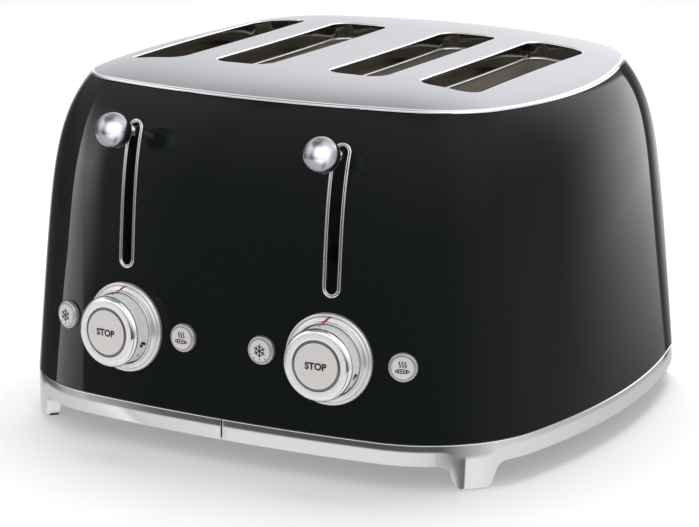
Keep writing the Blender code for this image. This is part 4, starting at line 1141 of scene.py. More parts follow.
def strip(
    points: Sequence[Sequence[float]], width: float, low: float, high: float, closed: bool = False
) -> Form:
    """A flat raised line along a path of the X and Y plane.

    Args:
        points: The path.
        width: Width of the line.
        low: Height of its foot.
        high: Height of its top.
        closed: Whether the path returns to its start.

    Returns:
        The line's form.
    """
    path = np.array(points, float)
    before = np.roll(path, 1, axis=0) if closed else np.vstack([2 * path[0] - path[1], path[:-1]])
    after = np.roll(path, -1, axis=0) if closed else np.vstack([path[1:], 2 * path[-1] - path[-2]])
    way = after - before
    way /= np.linalg.norm(way, axis=1, keepdims=True)
    leg = path - before
    leg /= np.linalg.norm(leg, axis=1, keepdims=True)
    stretch = 1 / np.clip(np.abs(np.sum(way * leg, axis=1, keepdims=True)), 0.6, 1.0)
    side = np.column_stack([-way[:, 1], way[:, 0]]) * stretch * width / 2
    rows = [
        [(*(p - s), low), (*(p + s), low), (*(p + s), high), (*(p - s), high)]
        for p, s in zip(path, side)
    ]
    form = Form()
    form.rows(np.array(rows), loop=closed, caps=not closed)
    return form


def dot(x: float, y: float, radius: float, low: float, high: float, sides: int = 14) -> Form:
    """A small raised disc.

    Args:
        x: Place of its middle along X.
        y: Place of its middle along Y.
        radius: Its radius.
        low: Height of its foot.
        high: Height of its top.
        sides: Steps round it.

    Returns:
        The disc's form.
    """
    disc = Form()
    disc.turned([(0, low), (radius, low), (radius, high), (0, high)], sides)
    form = Form()
    form.merge(disc, Matrix.Translation((x, y, 0)))
    return form


def lettering(words: str, height: float, thick: float, weight: float) -> Form:
    """Plain printed letters in the X and Y plane.

    Args:
        words: What they say.
        height: Height of a capital.
        thick: How far the print stands out.
        weight: How much the strokes are widened.

    Returns:
        The letters' form, centred on the origin.
    """
    curve = bpy.data.curves.new("letters", "FONT")
    curve.body = words
    curve.size = height / 0.7
    curve.resolution_u = 5
    curve.extrude = thick / 2
    curve.offset = weight
    thing = bpy.data.objects.new("letters", curve)
    bpy.context.scene.collection.objects.link(thing)
    bpy.context.view_layer.update()
    mesh = bpy.data.meshes.new_from_object(
        thing.evaluated_get(bpy.context.evaluated_depsgraph_get())
    )
    points = points_of(mesh)
    points[:, :2] -= (points[:, :2].max(0) + points[:, :2].min(0)) / 2
    form = Form()
    form.add(points, [tuple(face.vertices) for face in mesh.polygons])
    bpy.data.objects.remove(thing)
    bpy.data.curves.remove(curve)
    bpy.data.meshes.remove(mesh)
    return form


@dataclass(frozen=True)
class Shell:
    """The black shell between the base band and the top panel."""

    wall: float = 0.0012
    top_z: float = 0.1936
    edge: float = 0.0006
    levels: int = 34
    inner_levels: int = 14
    seam_low: float = 0.0252
    collar_hole: float = 0.0247
    button_hole: float = 0.0082
    gland_hole: float = 0.0059
    plug_half: float = 0.012
    slot_depths: Pair = (-0.115, -0.175)

    def build(self) -> None:
        """Make the shell and the grey trim in its lower seam."""
        shell = self._skin().piece("body_shell_skin", (PAINT,))
        self._open(shell)
        set_normals(shell.data, FORM.normals(points_of(shell.data)))
        install(shell, "housing", "shell", "body_shell")
        rows = [FORM.ring(self.seam_low, inset) for inset in (0.0014, 0.0009)]
        over = ((-0.0001, 0.0005), (0.0003, 0.0007), (0.0004, 0.0011), (0.0002, 0.0016))
        rows += [FORM.ring(FORM.foot_z + rise, inset) for rise, inset in over]
        trim = Form()
        trim.rows(np.array(rows), loop=True)
        install(trim.piece("base_seam_trim", (SEAM_GREY,)), "housing", "shell")

    def _skin(self) -> Form:
        """The shell's wall, with its lower edge rounded over.

        Returns:
            The wall's form, in triangles.
        """
        foot, edge = FORM.foot_z, self.edge
        turn = ((0, 1.0), (0.12, 0.5), (0.5, 0.12))
        rows = [FORM.ring(foot + edge * h, edge * inset) for h, inset in turn]
        heights = 1 - (1 - np.linspace(0, 1, self.levels)) ** 1.7
        rows += [FORM.ring(foot + edge + (self.top_z - foot - edge) * float(h)) for h in heights]
        inner = np.linspace(1, 0, self.inner_levels)
        rows += [FORM.ring(foot + (self.top_z - foot) * float(h), self.wall) for h in inner]
        form = Form()
        form.rows(np.array(rows), loop=True)
        form.faces = [half for a, b, c, d in form.faces for half in ((a, b, c), (a, c, d))]
        form.marks = [0] * len(form.faces)
        return form

    def _open(self, shell: bpy.types.Object) -> None:
        """Cut the lever slots, the control holes and the gland's hole.

        Args:
            shell: The shell.
        """
        tool = Form()
        for side in Side:
            outline = LeverUnit(side).stadium(LeverUnit.sleeve + FIT)
            rows = [[(x, y, z) for x, z, _, _ in outline] for y in self.slot_depths]
            tool.rows(np.array(rows), caps=True)
            for x, radius in (
                (ControlUnit.knob_x, self.collar_hole),
                (ControlUnit.inner_x, self.button_hole),
                (ControlUnit.outer_x, self.button_hole),
            ):
                tool.merge(self._plug(radius), FORM.control(side.sign * x))
        tool.merge(self._plug(self.gland_hole), Gland().matrix())
        cut(shell, tool)

    def _plug(self, radius: float) -> Form:
        """A cylinder that reaches through the shell's wall.

        Args:
            radius: Its radius.

        Returns:
            The cylinder.
        """
        half = self.plug_half
        form = Form()
        form.turned([(0, -half), (radius, -half), (radius, half), (0, half)], 56)
        return form


@dataclass(frozen=True)
class TopPanel:
    """The crowned steel panel with its rolled rim and four turned-down slots."""

    edge_z: float = 0.1940
    rim: float = 0.0010
    crown: float = 0.0114
    crown_power: float = 5.1
    wall: float = 0.0012
    bead: float = 0.0021
    slot_half_x: float = 0.01775
    slot_front: float = -0.0766
    slot_rear: float = 0.0712
    slot_corner: float = 0.010
    slot_places: tuple[float, ...] = (-0.0929, -0.0364168, 0.0364168, 0.0929)
    lip: float = 0.0008
    collar_depth: float = 0.0098
    collar_foot: float = 0.1875
    halo: float = 0.0035
    ring_shares: tuple[float, ...] = (
        0.965, 0.945, 0.92, 0.89, 0.85, 0.80, 0.74, 0.66, 0.57, 0.46, 0.33, 0.18, 0.05,
    )

    def share(self, points: Array) -> Array:
        """On which share of the panel's outline points of the plan lie.

        Args:
            points: Points of the plan.

        Returns:
            Their shares, 1 on the outline.
        """
        length = float(FORM.half_sizes(self.edge_z)[0])
        x, y = np.abs(points[:, 0]), np.abs(points[:, 1])
        low, high = np.full(len(x), 1e-4), np.full(len(x), 1.02)
        for _ in range(34):
            middle = (low + high) / 2
            inside = (x < length * middle) & (
                y < -middle * FORM.front_y(np.minimum(x / middle, length), self.edge_z)
            )
            low, high = np.where(inside, low, middle), np.where(inside, middle, high)
        return high

    def height(self, points: Array) -> Array:
        """Height of the panel's face over points of the plan.

        Args:
            points: Points of the plan.

        Returns:
            The heights.
        """
        share = self.share(points)
        lift = self.crown * (1 - share**self.crown_power)
        return self.edge_z + self.rim + lift + FORM.arch(self.edge_z, points[:, 1], share)

    def normals(self, points: Array) -> Array:
        """Upward unit normals of the panel's face over points of the plan.

        Args:
            points: Points of the plan.

        Returns:
            One unit vector for each point.
        """
        step = 0.0004
        slopes = []
        for shift in ((step, 0.0), (0.0, step)):
            moved = np.array(shift)
            slopes.append((self.height(points + moved) - self.height(points - moved)) / (2 * step))
        up = np.column_stack([-slopes[0], -slopes[1], np.ones(len(points))])
        return up / np.linalg.norm(up, axis=1, keepdims=True)

    def slot(self, place: float, grow: float) -> Array:
        """A slot's outline.

        Args:
            place: The slot's place along X.
            grow: How far outside the opening it lies.

        Returns:
            Points of the plan.
        """
        half_y = (self.slot_rear - self.slot_front) / 2
        middle = (self.slot_rear + self.slot_front) / 2
        ring = rounded_rectangle(self.slot_half_x + grow, half_y + grow, self.slot_corner + grow)
        return ring + (place, middle)

    def build(self) -> None:
        """Make the panel as one piece: satin face, polished rim and lips, dull liners."""
        form = Form()
        self._face(form)
        self._rim(form)
        for place in self.slot_places:
            self._collar(form, place)
        panel = form.piece("top_panel_sheet", (SATIN_TOP, BRIGHT, COLLAR_LINER, COLLAR_WALL))
        points = points_of(panel.data)
        marks = np.zeros(len(panel.data.polygons), int)
        panel.data.polygons.foreach_get("material_index", marks)
        wanted = self.normals(points[:, :2])
        self._keep_face_normals(panel.data, wanted, marks)
        install(panel, "housing", "top", "top_panel")

    @staticmethod
    def _keep_face_normals(mesh: bpy.types.Mesh, wanted: Array, marks: Array) -> None:
        """Give the satin face its exact normals and leave the rest as it is shaded.

        Args:
            mesh: The panel's mesh.
            wanted: The face's unit normal at each point.
            marks: The number of each polygon's finish.
        """
        shaded = np.array([tuple(item.vector) for item in mesh.corner_normals])
        satin = at_corners(mesh, marks)[:, None] == 0
        upward = shaded[:, 2:] > 0
        chosen = np.where(satin & upward, wanted[corner_points(mesh)], shaded)
        mesh.normals_split_custom_set([tuple(row) for row in chosen])

    def _face(self, form: Form) -> None:
        """Add the satin sheet between the rim and the slots.

        Args:
            form: The panel's form.
        """
        edge = FORM.outline(self.edge_z, self.bead)
        outer = FORM.outline(self.edge_z)[::2]
        slots = [self.slot(place, self.lip) for place in self.slot_places]
        halos = [self.slot(place, self.lip + self.halo) for place in self.slot_places]
        loose = np.vstack([outer * share for share in self.ring_shares])
        for halo in halos:
            centre = (halo.max(0) + halo.min(0)) / 2
            half = (halo.max(0) - halo.min(0)) / 2 + 0.001
            loose = loose[~np.all(np.abs(loose - centre) < half, axis=1)]
        points, edges = [], []
        for loop in (edge, *slots):
            start = len(points)
            points += [Vector(point) for point in loop]
            edges += [(start + i, start + (i + 1) % len(loop)) for i in range(len(loop))]
        points += [Vector(point) for point in np.vstack([loose, *halos])]
        plan, _, triangles, *_ = delaunay_2d_cdt(points, edges, [], 0, 1e-7)
        plan = np.array([tuple(point) for point in plan])
        centres = np.array([plan[list(face)].mean(0) for face in triangles])
        kept = self._inside(centres, edge)
        for ring in slots:
            kept &= ~self._inside(centres, ring)
        faces = [tuple(face) for face, keep in zip(triangles, kept) if keep]
        top = np.column_stack([plan, self.height(plan)])
        form.add(top, faces)
        form.add(top - (0, 0, self.wall), [face[::-1] for face in faces], 2)

    @staticmethod
    def _inside(points: Array, ring: Array) -> Array:
        """Whether points of the plan lie inside a ring.

        Args:
            points: Points of the plan.
            ring: The ring's points.

        Returns:
            A truth value for each point.
        """
        found = np.zeros(len(points), bool)
        x, y = points[:, 0], points[:, 1]
        for (x1, y1), (x2, y2) in zip(ring, np.roll(ring, -1, axis=0)):
            crosses = (y1 > y) != (y2 > y)
            if y1 != y2:
                found ^= crosses & (x < (x2 - x1) * (y - y1) / (y2 - y1) + x1)
        return found

    def _rim(self, form: Form) -> None:
        """Add the polished bead that rolls down over the shell's edge.

        Args:
            form: The panel's form.
        """
        steps = [(self.bead, 0.0, 1.0), (self.bead - 0.00012, -0.00028, 1.0)]
        steps += [(self.bead - 0.0003, -0.0003, 1.0), (self.bead - 0.0004, 0.0, 1.0)]
        roll = self.bead - 0.0004
        for angle in np.linspace(0.12, 1.0, 9) * math.pi / 2:
            steps.append((roll * (1 - math.sin(angle)), 0.0, math.cos(angle)))
        steps += [(0.0001, -0.0003, 0.0), (0.0006, -0.0004, 0.0), (0.0016, -0.0004, 0.0)]
        rows = []
        inner = FORM.outline(self.edge_z, roll)
        top = self.height(inner)
        low = self.edge_z + FORM.arch(self.edge_z, FORM.outline(self.edge_z)[:, 1]) + 0.0003
        for inset, drop, share in steps:
            plan = FORM.outline(self.edge_z, inset)
            level = self.height(plan) if inset > roll else low + (top - low) * share
            rows.append(np.column_stack([plan, level + drop]))
        form.rows(np.array(rows), mark=1)

    def _collar(self, form: Form, place: float) -> None:
        """Add a slot's rolled lip, plain wall, bright lower edge and dull liner.

        Args:
            form: The panel's form.
            place: The slot's place along X.
        """
        depth = self.collar_depth
        turns = np.linspace(0, 1, 7) * math.pi / 2
        bright = [(self.lip * (1 - math.sin(a)), -self.lip * (1 - math.cos(a))) for a in turns]
        wall = [(0.0, -self.lip)] + [(0.0, -depth * share) for share in (0.3, 0.6, 0.9)]
        lower = [wall[-1], (0.0, -depth + 0.0006), (-0.00008, -depth + 0.00022)]
        lower += [(-0.00028, -depth + 0.00006), (-0.0005, -depth), (-0.0006, -depth - 0.0002)]
        lower += [(-0.00055, -depth - 0.0006), (-0.0003, -depth - 0.0008)]
        for steps, mark in ((bright, 1), (wall, 3), (lower, 1)):
            rows = []
            for grow, drop in steps:
                plan = self.slot(place, grow)
                rows.append(np.column_stack([plan, self.height(plan) + drop]))
            form.rows(np.array(rows), mark=mark)
        plan = self.slot(place, 0.0)
        liner = [rows[-1], np.column_stack([plan, rows[-1][:, 2] - 0.0004])]
        liner.append(np.column_stack([plan, np.full(len(plan), self.collar_foot)]))
        plan = self.slot(place, 0.0008)
        liner.append(np.column_stack([plan, np.full(len(plan), self.collar_foot)]))
        liner.append(np.column_stack([plan, self.height(plan) - self.wall]))
        form.rows(np.array(liner), mark=2)


@dataclass(frozen=True)
class Band:
    """The silver band round the base with its four feet and the trays' fronts."""

    low_z: float = 0.0141
    top_z: float = 0.0258
    wall: float = 0.0030
    foot_arc: float = 0.0544
    half_flat: float = 0.0070
    foot_z: float = 0.0008
    toe: float = 0.0035
    heel: float = 0.0075
    spread: float = 0.0197
    lean: float = math.radians(20)
    seam_x: float = 0.124
    middle_gap: float = 0.0008
    edge: float = 0.0005
    tray_gap: float = 0.0001
    tray_turn: Curve = ((0.0, 0.0005), (0.0001, 0.00025), (0.0003, 0.00006), (0.0006, 0.0))
    pan_foot: float = 0.0169
    pan_top: float = 0.0249
    pan_wall: float = 0.0008
    pan_rear: float = 0.072

    def foot_height(self, distance: float) -> float:
        """Lower edge of the band near a foot.

        Args:
            distance: How far along the band the foot's middle is.

        Returns:
            The edge's height.
        """
        toe_reach = self.half_flat + self.toe * math.cos(self.lean)
        toe_z = self.foot_z + self.toe * (1 - math.sin(self.lean))
        heel_reach = self.spread - self.heel * math.cos(self.lean)
        heel_z = self.low_z - self.heel * (1 - math.sin(self.lean))
        if distance <= self.half_flat:
            return self.foot_z
        if distance <= toe_reach:
            past = distance - self.half_flat
            return self.foot_z + self.toe - math.sqrt(self.toe**2 - past**2)
        if distance <= heel_reach:
            return toe_z + (heel_z - toe_z) * (distance - toe_reach) / (heel_reach - toe_reach)
        if distance < self.spread:
            return self.low_z - self.heel + math.sqrt(self.heel**2 - (self.spread - distance) ** 2)
        return self.low_z

    def section(self, low: float, inset: float = 0.0) -> list[Pair]:
        """The band's cross-section with rounded outer edges.

        Args:
            low: Height of the lower edge.
            inset: How far the outer face is drawn back.

        Returns:
            Insets and heights round the section.
        """
        edge = self.edge
        return [
            (self.wall, self.top_z - 0.0002),
            (inset + edge, self.top_z),
            (inset + edge * 0.35, self.top_z - edge * 0.12),
            (inset + edge * 0.06, self.top_z - edge * 0.5),
            (inset, self.top_z - edge),
            (inset, (self.top_z + low) / 2),
            (inset, low + edge),
            (inset + edge * 0.06, low + edge * 0.5),
            (inset + edge * 0.35, low + edge * 0.12),
            (inset + edge, low),
            (self.wall, low),
        ]

    def _columns(self) -> list[Column]:
        """Places of the open band, from the right tray seam round to the left one.

        Returns:
            For each column its outer point, its outward direction and its lower edge's height.
        """
        front, corner, side = (tuple(float(n) for n in arc) for arc in FORM.arcs(0.0))
        middle = corner[3] + self.foot_arc / corner[2]
        reach = self.spread / corner[2]
        first = -math.acos((self.seam_x - corner[0]) / corner[2])
        steps = np.linspace(-1, 1, 53)
        low = self.low_z
        quarter = [(corner, a, low) for a in np.linspace(first, middle - reach, 8)[:-1]]
        quarter += [
            (corner, middle + reach * s, self.foot_height(abs(s) * self.spread)) for s in steps
        ]
        quarter += [(corner, a, low) for a in np.linspace(middle + reach, corner[4], 5)[1:-1]]
        quarter += [(side, a, low) for a in np.linspace(side[3], 0.0, 16)]
        rear = [(front, a, low) for a in np.linspace(-math.pi / 2, front[4], 14)[:-1]]
        rear += [(corner, a, low) for a in np.linspace(front[4], first, 8)[:-1]]
        columns = [self._column(*place) for place in quarter]
        back = [self._column(*place) for place in rear + quarter]
        flip = [self._flipped(column, 1, -1) for column in reversed(back)]
        right = columns[:-1] + flip
        left = [self._flipped(column, -1, 1) for column in reversed(right)]
        return right + left[1:]

    @staticmethod
    def _column(arc: tuple[float, ...], angle: float, low: float) -> Column:
        """One column on an arc."""
        out = Vector((math.cos(angle), math.sin(angle), 0.0))
        return Vector((arc[0], arc[1], 0.0)) + out * arc[2], out, low

    @staticmethod
    def _flipped(column: Column, x: int, y: int) -> Column:
        """A column carried into another quarter."""
        turn = Vector((x, y, 1))
        return column[0] * turn, column[1] * turn, column[2]

    def build(self) -> None:
        """Make the band with its feet, and the two trays."""
        form = Form()
        rows = [
            [point - out * inset + Vector((0, 0, z)) for inset, z in self.section(low)]
            for point, out, low in self._columns()
        ]
        form.rows(np.array(rows), caps=True)
        for x in (1, -1):
            for y in (1, -1):
                form.merge(self._foot(), Matrix.Diagonal((x, y, 1, 1)))
        install(form.piece("base_band", (SILVER,)), "housing", "band", "base_skirt")
        for side in Side:
            self._tray(side)

    def _foot(self) -> Form:
        """The solid heel of the right front foot, behind the band's face.

        Returns:
            The heel's form.
        """
        corner = tuple(float(n) for n in FORM.arcs(0.0)[1])
        middle = corner[3] + self.foot_arc / corner[2]
        rows = []
        for share in np.linspace(-0.94, 0.94, 33):
            low = self.foot_height(abs(share) * self.spread) + 0.0004
            point, out, _ = self._column(corner, middle + share * self.spread / corner[2], low)
            section = [(0.0016, 0.0143), (0.0016, low), (0.0078, low), (0.0086, low + 0.0003)]
            section += [(0.009, low + 0.001), (0.009, 0.0143)]
            rows.append([point - out * inset + Vector((0, 0, max(z, low))) for inset, z in section])
        form = Form()
        form.rows(np.array(rows), caps=True)
        return form

    def _tray(self, side: Side) -> None:
        """Make a crumb tray: the lip that completes the band and the folded pan.

        Args:
            side: Its half of the toaster.
        """
        near, far = self.middle_gap / 2, self.seam_x - self.tray_gap
        places = [(near + step, drawn) for step, drawn in self.tray_turn]
        even = (*np.linspace(near + 0.004, far - 0.004, 36), far - 0.0005, far)
        places += [(x, 0.0) for x in even]
        front, corner, _ = (tuple(float(n) for n in arc) for arc in FORM.arcs(0.0))
        rows = []
        for x, drawn in places:
            arc = front if x < front[0] + front[2] * math.cos(front[4]) else corner
            point, out, low = self._column(arc, -math.acos((x - arc[0]) / arc[2]), self.low_z)
            section = self.section(low, drawn)
            rows.append([point - out * inset + Vector((0, 0, z)) for inset, z in section])
        form = Form()
        form.rows(np.array(rows), caps=True)
        form.rows(self._pan(near + 0.001, far - 0.001), caps=True, mark=1)
        turned = Form()
        turned.merge(form, Matrix.Diagonal((side.sign, 1, 1, 1)))
        piece = turned.piece(f"crumb_tray_drawer_{side.value}", (SILVER, ZINC))
        install(piece, f"tray_{side.value}", "band", f"crumb_tray_{side.value}")

    def _pan(self, low_x: float, high_x: float) -> Array:
        """Rings of the pan from its underside over the rim to its floor.

        Args:
            low_x: Inner side of the pan.
            high_x: Outer side of the pan.

        Returns:
            The rings as rows.
        """
        foot, top, wall = self.pan_foot, self.pan_top, self.pan_wall
        rows = []
        for inset, z in (
            (0.0010, foot), (0.0003, foot + 0.0002), (0.0, foot + 0.0008), (0.0, top - 0.0004),
            (0.0002, top), (wall - 0.0002, top), (wall, top - 0.0004), (wall, foot + wall + 0.0012),
            (wall + 0.0004, foot + wall + 0.0003), (wall + 0.0012, foot + wall),
        ):
            xs = np.linspace(low_x + inset, high_x - inset, 20)
            front = FORM.front_y(xs, 0.0) + self.wall - 0.0004 + inset
            ring = [(x, y, z) for x, y in zip(xs, front)]
            ring += [(x, self.pan_rear - inset, z) for x in reversed(xs)]
            rows.append(ring)
        return np.array(rows)


@dataclass(frozen=True)
class LeverUnit:
    """A lever slot's bright surround and the ball with its stem."""

    side: Side
    lever_x: float = 0.0646584
    opening: float = 0.0065
    flange: float = 0.0020
    low_z: float = 0.1009
    top_z: float = 0.1825
    depth: float = 0.0022
    ball_radius: float = 0.0100
    ball_y: float = -0.1603
    ball_z: float = 0.1801
    stem_radius: float = 0.0025
    stem_length: float = 0.0180
    stem_tilt: float = math.radians(9.2)
    stem_ring: float = 0.0042
    sleeve = 0.0009

    def stadium(self, grow: float) -> list[tuple[float, float, float, float]]:
        """The slot's outline on the front.

        Args:
            grow: How far outside the opening it lies.

        Returns:
            X, Z and the outward direction at each point.
        """
        half = self.opening / 2
        low, top = self.low_z + self.flange + half, self.top_z - self.flange - half
        middle = self.side.sign * self.lever_x
        points = []
        for z in np.linspace(low, top, 26)[:-1]:
            points.append((middle + half + grow, z, 1.0, 0.0))
        for angle in np.linspace(0, math.pi, 15)[:-1]:
            x, z = math.cos(angle), math.sin(angle)
            points.append((middle + (half + grow) * x, top + (half + grow) * z, x, z))
        for z in np.linspace(top, low, 26)[:-1]:
            points.append((middle - half - grow, z, -1.0, 0.0))
        for angle in np.linspace(math.pi, 2 * math.pi, 15)[:-1]:
            x, z = math.cos(angle), math.sin(angle)
            points.append((middle + (half + grow) * x, low + (half + grow) * z, x, z))
        return points

    def build(self) -> None:
        """Make the surround and the ball."""
        name, body = self.side.value, f"lift_{self.side.value}"
        # Its second finish paints the groove black as shade.
        surround = self._surround().piece(f"lever_surround_{name}", (BRIGHT, PRINT_AND_SHADE_BLACK), sharp=50.0)
        install(surround, "housing", "chrome", f"lever_bezel_{name}")
        tilt = Euler((math.pi / 2 - self.stem_tilt, 0, 0)).to_matrix().to_4x4()
        place = Matrix.Translation((self.side.sign * self.lever_x, self.ball_y, self.ball_z))
        ball = self._ball().piece(f"lever_knob_{name}", (BALL, BRIGHT), BODY @ place @ tilt)
        install(ball, body, "chrome", f"lever_ball_{name}")

    def _surround(self) -> Form:
        """The two-beaded ring that follows the curved front.

        Returns:
            The ring's form, its groove marked 1 and painted black as shade.
        """
        section = (
            (0.0, -self.depth), (0.0, 0.0002), (0.0001, 0.00046), (0.0003, 0.00058),
            (0.0005, 0.00046), (0.0006, 0.0002), (0.00062, -0.0002), (0.00108, -0.0002),
            (0.0011, 0.0002), (0.00122, 0.00052), (0.0014, 0.0007), (0.00158, 0.00074),
            (0.00178, 0.00066), (0.00193, 0.00042), (0.002, 0.00004), (self.sleeve, 0.00002),
            (self.sleeve, -self.depth),
        )
        rows = []
        for x, z, out_x, out_z in self.stadium(0.0):
            point, normal = FORM.front_point(x, z), FORM.front_normal(x, z)
            away = Vector((out_x, 0.0, out_z))
            away = (away - normal * away.dot(normal)).normalized()
            rows.append([point + away * out + normal * high for out, high in section])
        form = Form()
        form.rows(np.array(rows), loop=True)
        # The groove between the beads is painted black: painted shade in place of dark chrome.
        groove = 6
        form.marks = [int(face[0] % len(section) == groove) for face in form.faces]
        return form

    def _ball(self) -> Form:
        """The ball, and its stem with a small ring where they meet.

        Returns:
            The ball's form, its stem marked 1.
        """
        radius = self.ball_radius
        reach = math.asin(self.stem_ring / radius)
        angles = np.linspace(0, math.pi - reach, 46)
        ball = [(radius * math.sin(a), radius * math.cos(a)) for a in angles]
        ball[0] = (0.0, radius)
        foot = ball[-1][1]
        stem = [
            (self.stem_ring, foot), (0.0038, foot - 0.0002), (0.0032, foot - 0.0004),
            (self.stem_radius + 0.0002, foot - 0.0006), (self.stem_radius, foot - 0.001),
            (self.stem_radius, -self.stem_length + 0.0003),
            (self.stem_radius - 0.0003, -self.stem_length), (0.0, -self.stem_length),
        ]
        form = Form()
        form.turned(ball, 80)
        form.turned(stem, 48, mark=1)
        return form


@dataclass(frozen=True)
class ControlUnit:
    """A browning knob in its stepped collar, its stop disc, and the two small buttons."""

    side: Side
    knob_x = 0.0646584
    inner_x = 0.0247518
    outer_x = 0.1061584
    band_radius: float = 0.0196
    stop_radius: float = 0.0139
    stop_top: float = 0.0174
    print_rise: float = 0.00006
    print_thick: float = 0.00005
    word_height: float = 0.0036
    digit_height: float = 0.0046
    digit_middle: float = 0.0082
    digit_first: float = 106.0
    digit_step: float = 45.0
    dot_radius: float = 0.0008
    collar_steps: Curve = (
        (0.0203, 0.0048), (0.0205, 0.005), (0.0208, 0.005), (0.0211, 0.0048), (0.0213, 0.0044),
        (0.02135, 0.0036), (0.0216, 0.00335), (0.0222, 0.0032), (0.0229, 0.0029), (0.0233, 0.0025),
        (0.0234, 0.0021), (0.0238, 0.0021),
    )
    mark_shares: tuple[float, ...] = (
        0.0, 0.02, 0.1, 0.2, 0.25, 0.28, 0.34, 0.5, 0.7, 0.82, 0.86, 1.0,
    )
    mark_slant: float = 0.0034

    def build(self) -> None:
        """Make the collar, the knob with its numbers, the disc and the buttons."""
        name = self.side.value
        place = BODY @ FORM.control(self.side.sign * self.knob_x)
        collar = self._collar().piece(f"collar_rings_{name}", (COLLAR_SILVER,), place)
        install(collar, "housing", "chrome", f"knob_collar_{name}")
        mark = self._pointer().piece(f"collar_pointer_{name}", (RED_INK,), place)
        install(mark, "housing", "knob")
        # The third finish also paints shade into the dial's groove.
        finishes = (KNOB_SILVER, BAND_WHITE, DARK_RING_AND_GROOVE_SHADE, BRIGHT)
        knob = self._knob().piece(f"browning_dial_{name}", finishes, place)
        install(knob, f"knob_{name}", "knob", f"browning_knob_{name}")
        numbers = self._numbers().piece(f"dial_numbers_{name}", (PRINT_AND_SHADE_BLACK,), place)
        install(numbers, f"knob_{name}", "knob")
        disc = self._disc().piece(f"stop_disc_{name}", (DISC_SILVER, DARK_RING_AND_GROOVE_SHADE), place)
        install(disc, f"stop_{name}", "button", f"stop_button_{name}")
        word = lettering("STOP", self.word_height, self.print_thick, 0.0002)
        lift = Matrix.Translation((0.0, 0.0, self.stop_top + self.print_rise))
        word = word.piece(f"stop_word_{name}", (PRINT_AND_SHADE_BLACK,), place @ lift)
        install(word, f"stop_{name}", "button")
        outer, inner = ("defrost", "reheat") if self.side is Side.LEFT else ("reheat", "defrost")
        for label, x in ((outer, self.outer_x), (inner, self.inner_x)):
            self._small_button(label, x)

    def _collar(self) -> Form:
        """The stepped rings round the knob.

        Returns:
            The rings' form.
        """
        profile = [
            (0.0202, -0.014), (0.0202, 0.0044), *self.collar_steps,
            (0.0243, 0.00205), (0.0246, 0.0019), (0.0249, 0.0016), (0.0252, 0.0011),
            (0.0253, 0.0006), (0.0253, -0.0006), (0.0244, -0.0012), (0.0244, -0.003),
            (0.0215, -0.003), (0.0215, -0.014),
        ]
        form = Form()
        form.turned(profile, ROUND, loop=True)
        return form

    def _pointer(self) -> Form:
        """The red line painted over the collar's steps at the top.

        Returns:
            The line's form.
        """
        rise = 0.00008
        rows = []
        for share, (radius, z) in zip(self.mark_shares, self.collar_steps):
            left, right = (self.mark_slant * share - offset for offset in (0.0026, 0.0011))
            foot, top = (radius, z - rise), (radius + rise / 2, z + rise)
            rows.append([(left, *foot), (right, *foot), (right, *top), (left, *top)])
        form = Form()
        form.rows(np.array(rows), caps=True)
        return form

    def _knob(self) -> Form:
        """The dial: wide front ring, a groove painted dark as shade, and the pale band for the
        numbers.

        Returns:
            The dial's form.
        """
        front = [
            (0.01405, 0.0152), (0.01405, 0.0167), (0.0142, 0.01692), (0.0145, 0.017),
            (0.0155, 0.017), (0.0168, 0.017), (0.0174, 0.01698),
        ]
        bevel = [
            front[-1], (0.0177, 0.0169), (0.0182, 0.01668), (0.0187, 0.01634), (0.0191, 0.0159),
            (0.0195, 0.0153), (0.0198, 0.0146), (0.0199, 0.0141), (0.0198, 0.01375),
            (0.0196, 0.01355), (0.0192, 0.0135),
        ]
        band = [(0.0187, 0.0132), (0.0193, 0.01317), (0.0196, 0.013), (0.0196, -0.002)]
        back = [
            (0.0196, -0.002), (0.008, -0.002), (0.008, -0.0057), (0.0052, -0.0057),
            (0.0052, -0.0005),
            (0.01405, -0.0005), (0.01405, 0.0152),
        ]
        form = Form()
        # The groove takes the dark ring finish: painted shade in the recess.
        groove = [(0.0192, 0.0135), (0.0187, 0.01345), (0.0187, 0.0132)]
        for mark, profile in ((0, front), (3, bevel), (2, groove), (1, band), (2, back)):
            form.turned(profile, ROUND, mark=mark)
        return form

    def _disc(self) -> Form:
        """The stop disc with its dark chamfered edge, and its stem.

        Returns:
            The disc's form, its edge marked 1.
        """
        radius, top = self.stop_radius, self.stop_top
        face = [(0.0, top), (0.004, top), (0.009, top), (0.0119, top), (0.0122, top - 0.00006)]
        face += [(0.0124, top - 0.0002), (0.0125, top - 0.0004)]
        rim = [
            face[-1], (0.0126, top - 0.0007), (0.0128, top - 0.0008), (0.0135, top - 0.0008),
            (0.0137, top - 0.0009), (radius, top - 0.0011), (radius, top - 0.0036),
            (0.0026, top - 0.0036), (0.0026, top - 0.0292), (0.0, top - 0.0292),
        ]
        form = Form()
        form.turned(face, ROUND)
        form.turned(rim, ROUND, mark=1)
        return form

    def _numbers(self) -> Form:
        """The numbers and dots printed round the dial's band.

        Returns:
            Their form.
        """
        form = Form()
        for i, digit in enumerate("654321"):
            degrees = self.digit_first + self.digit_step * i
            letter = lettering(digit, self.digit_height, self.print_thick, 0.0003)
            self._wrap(letter, degrees, self.digit_middle)
            form.merge(letter)
            spot = dot(0.0, 0.0, self.dot_radius, -0.00003, 0.00003)
            self._wrap(spot, degrees + self.digit_step / 2, self.digit_middle)
            form.merge(spot)
        return form

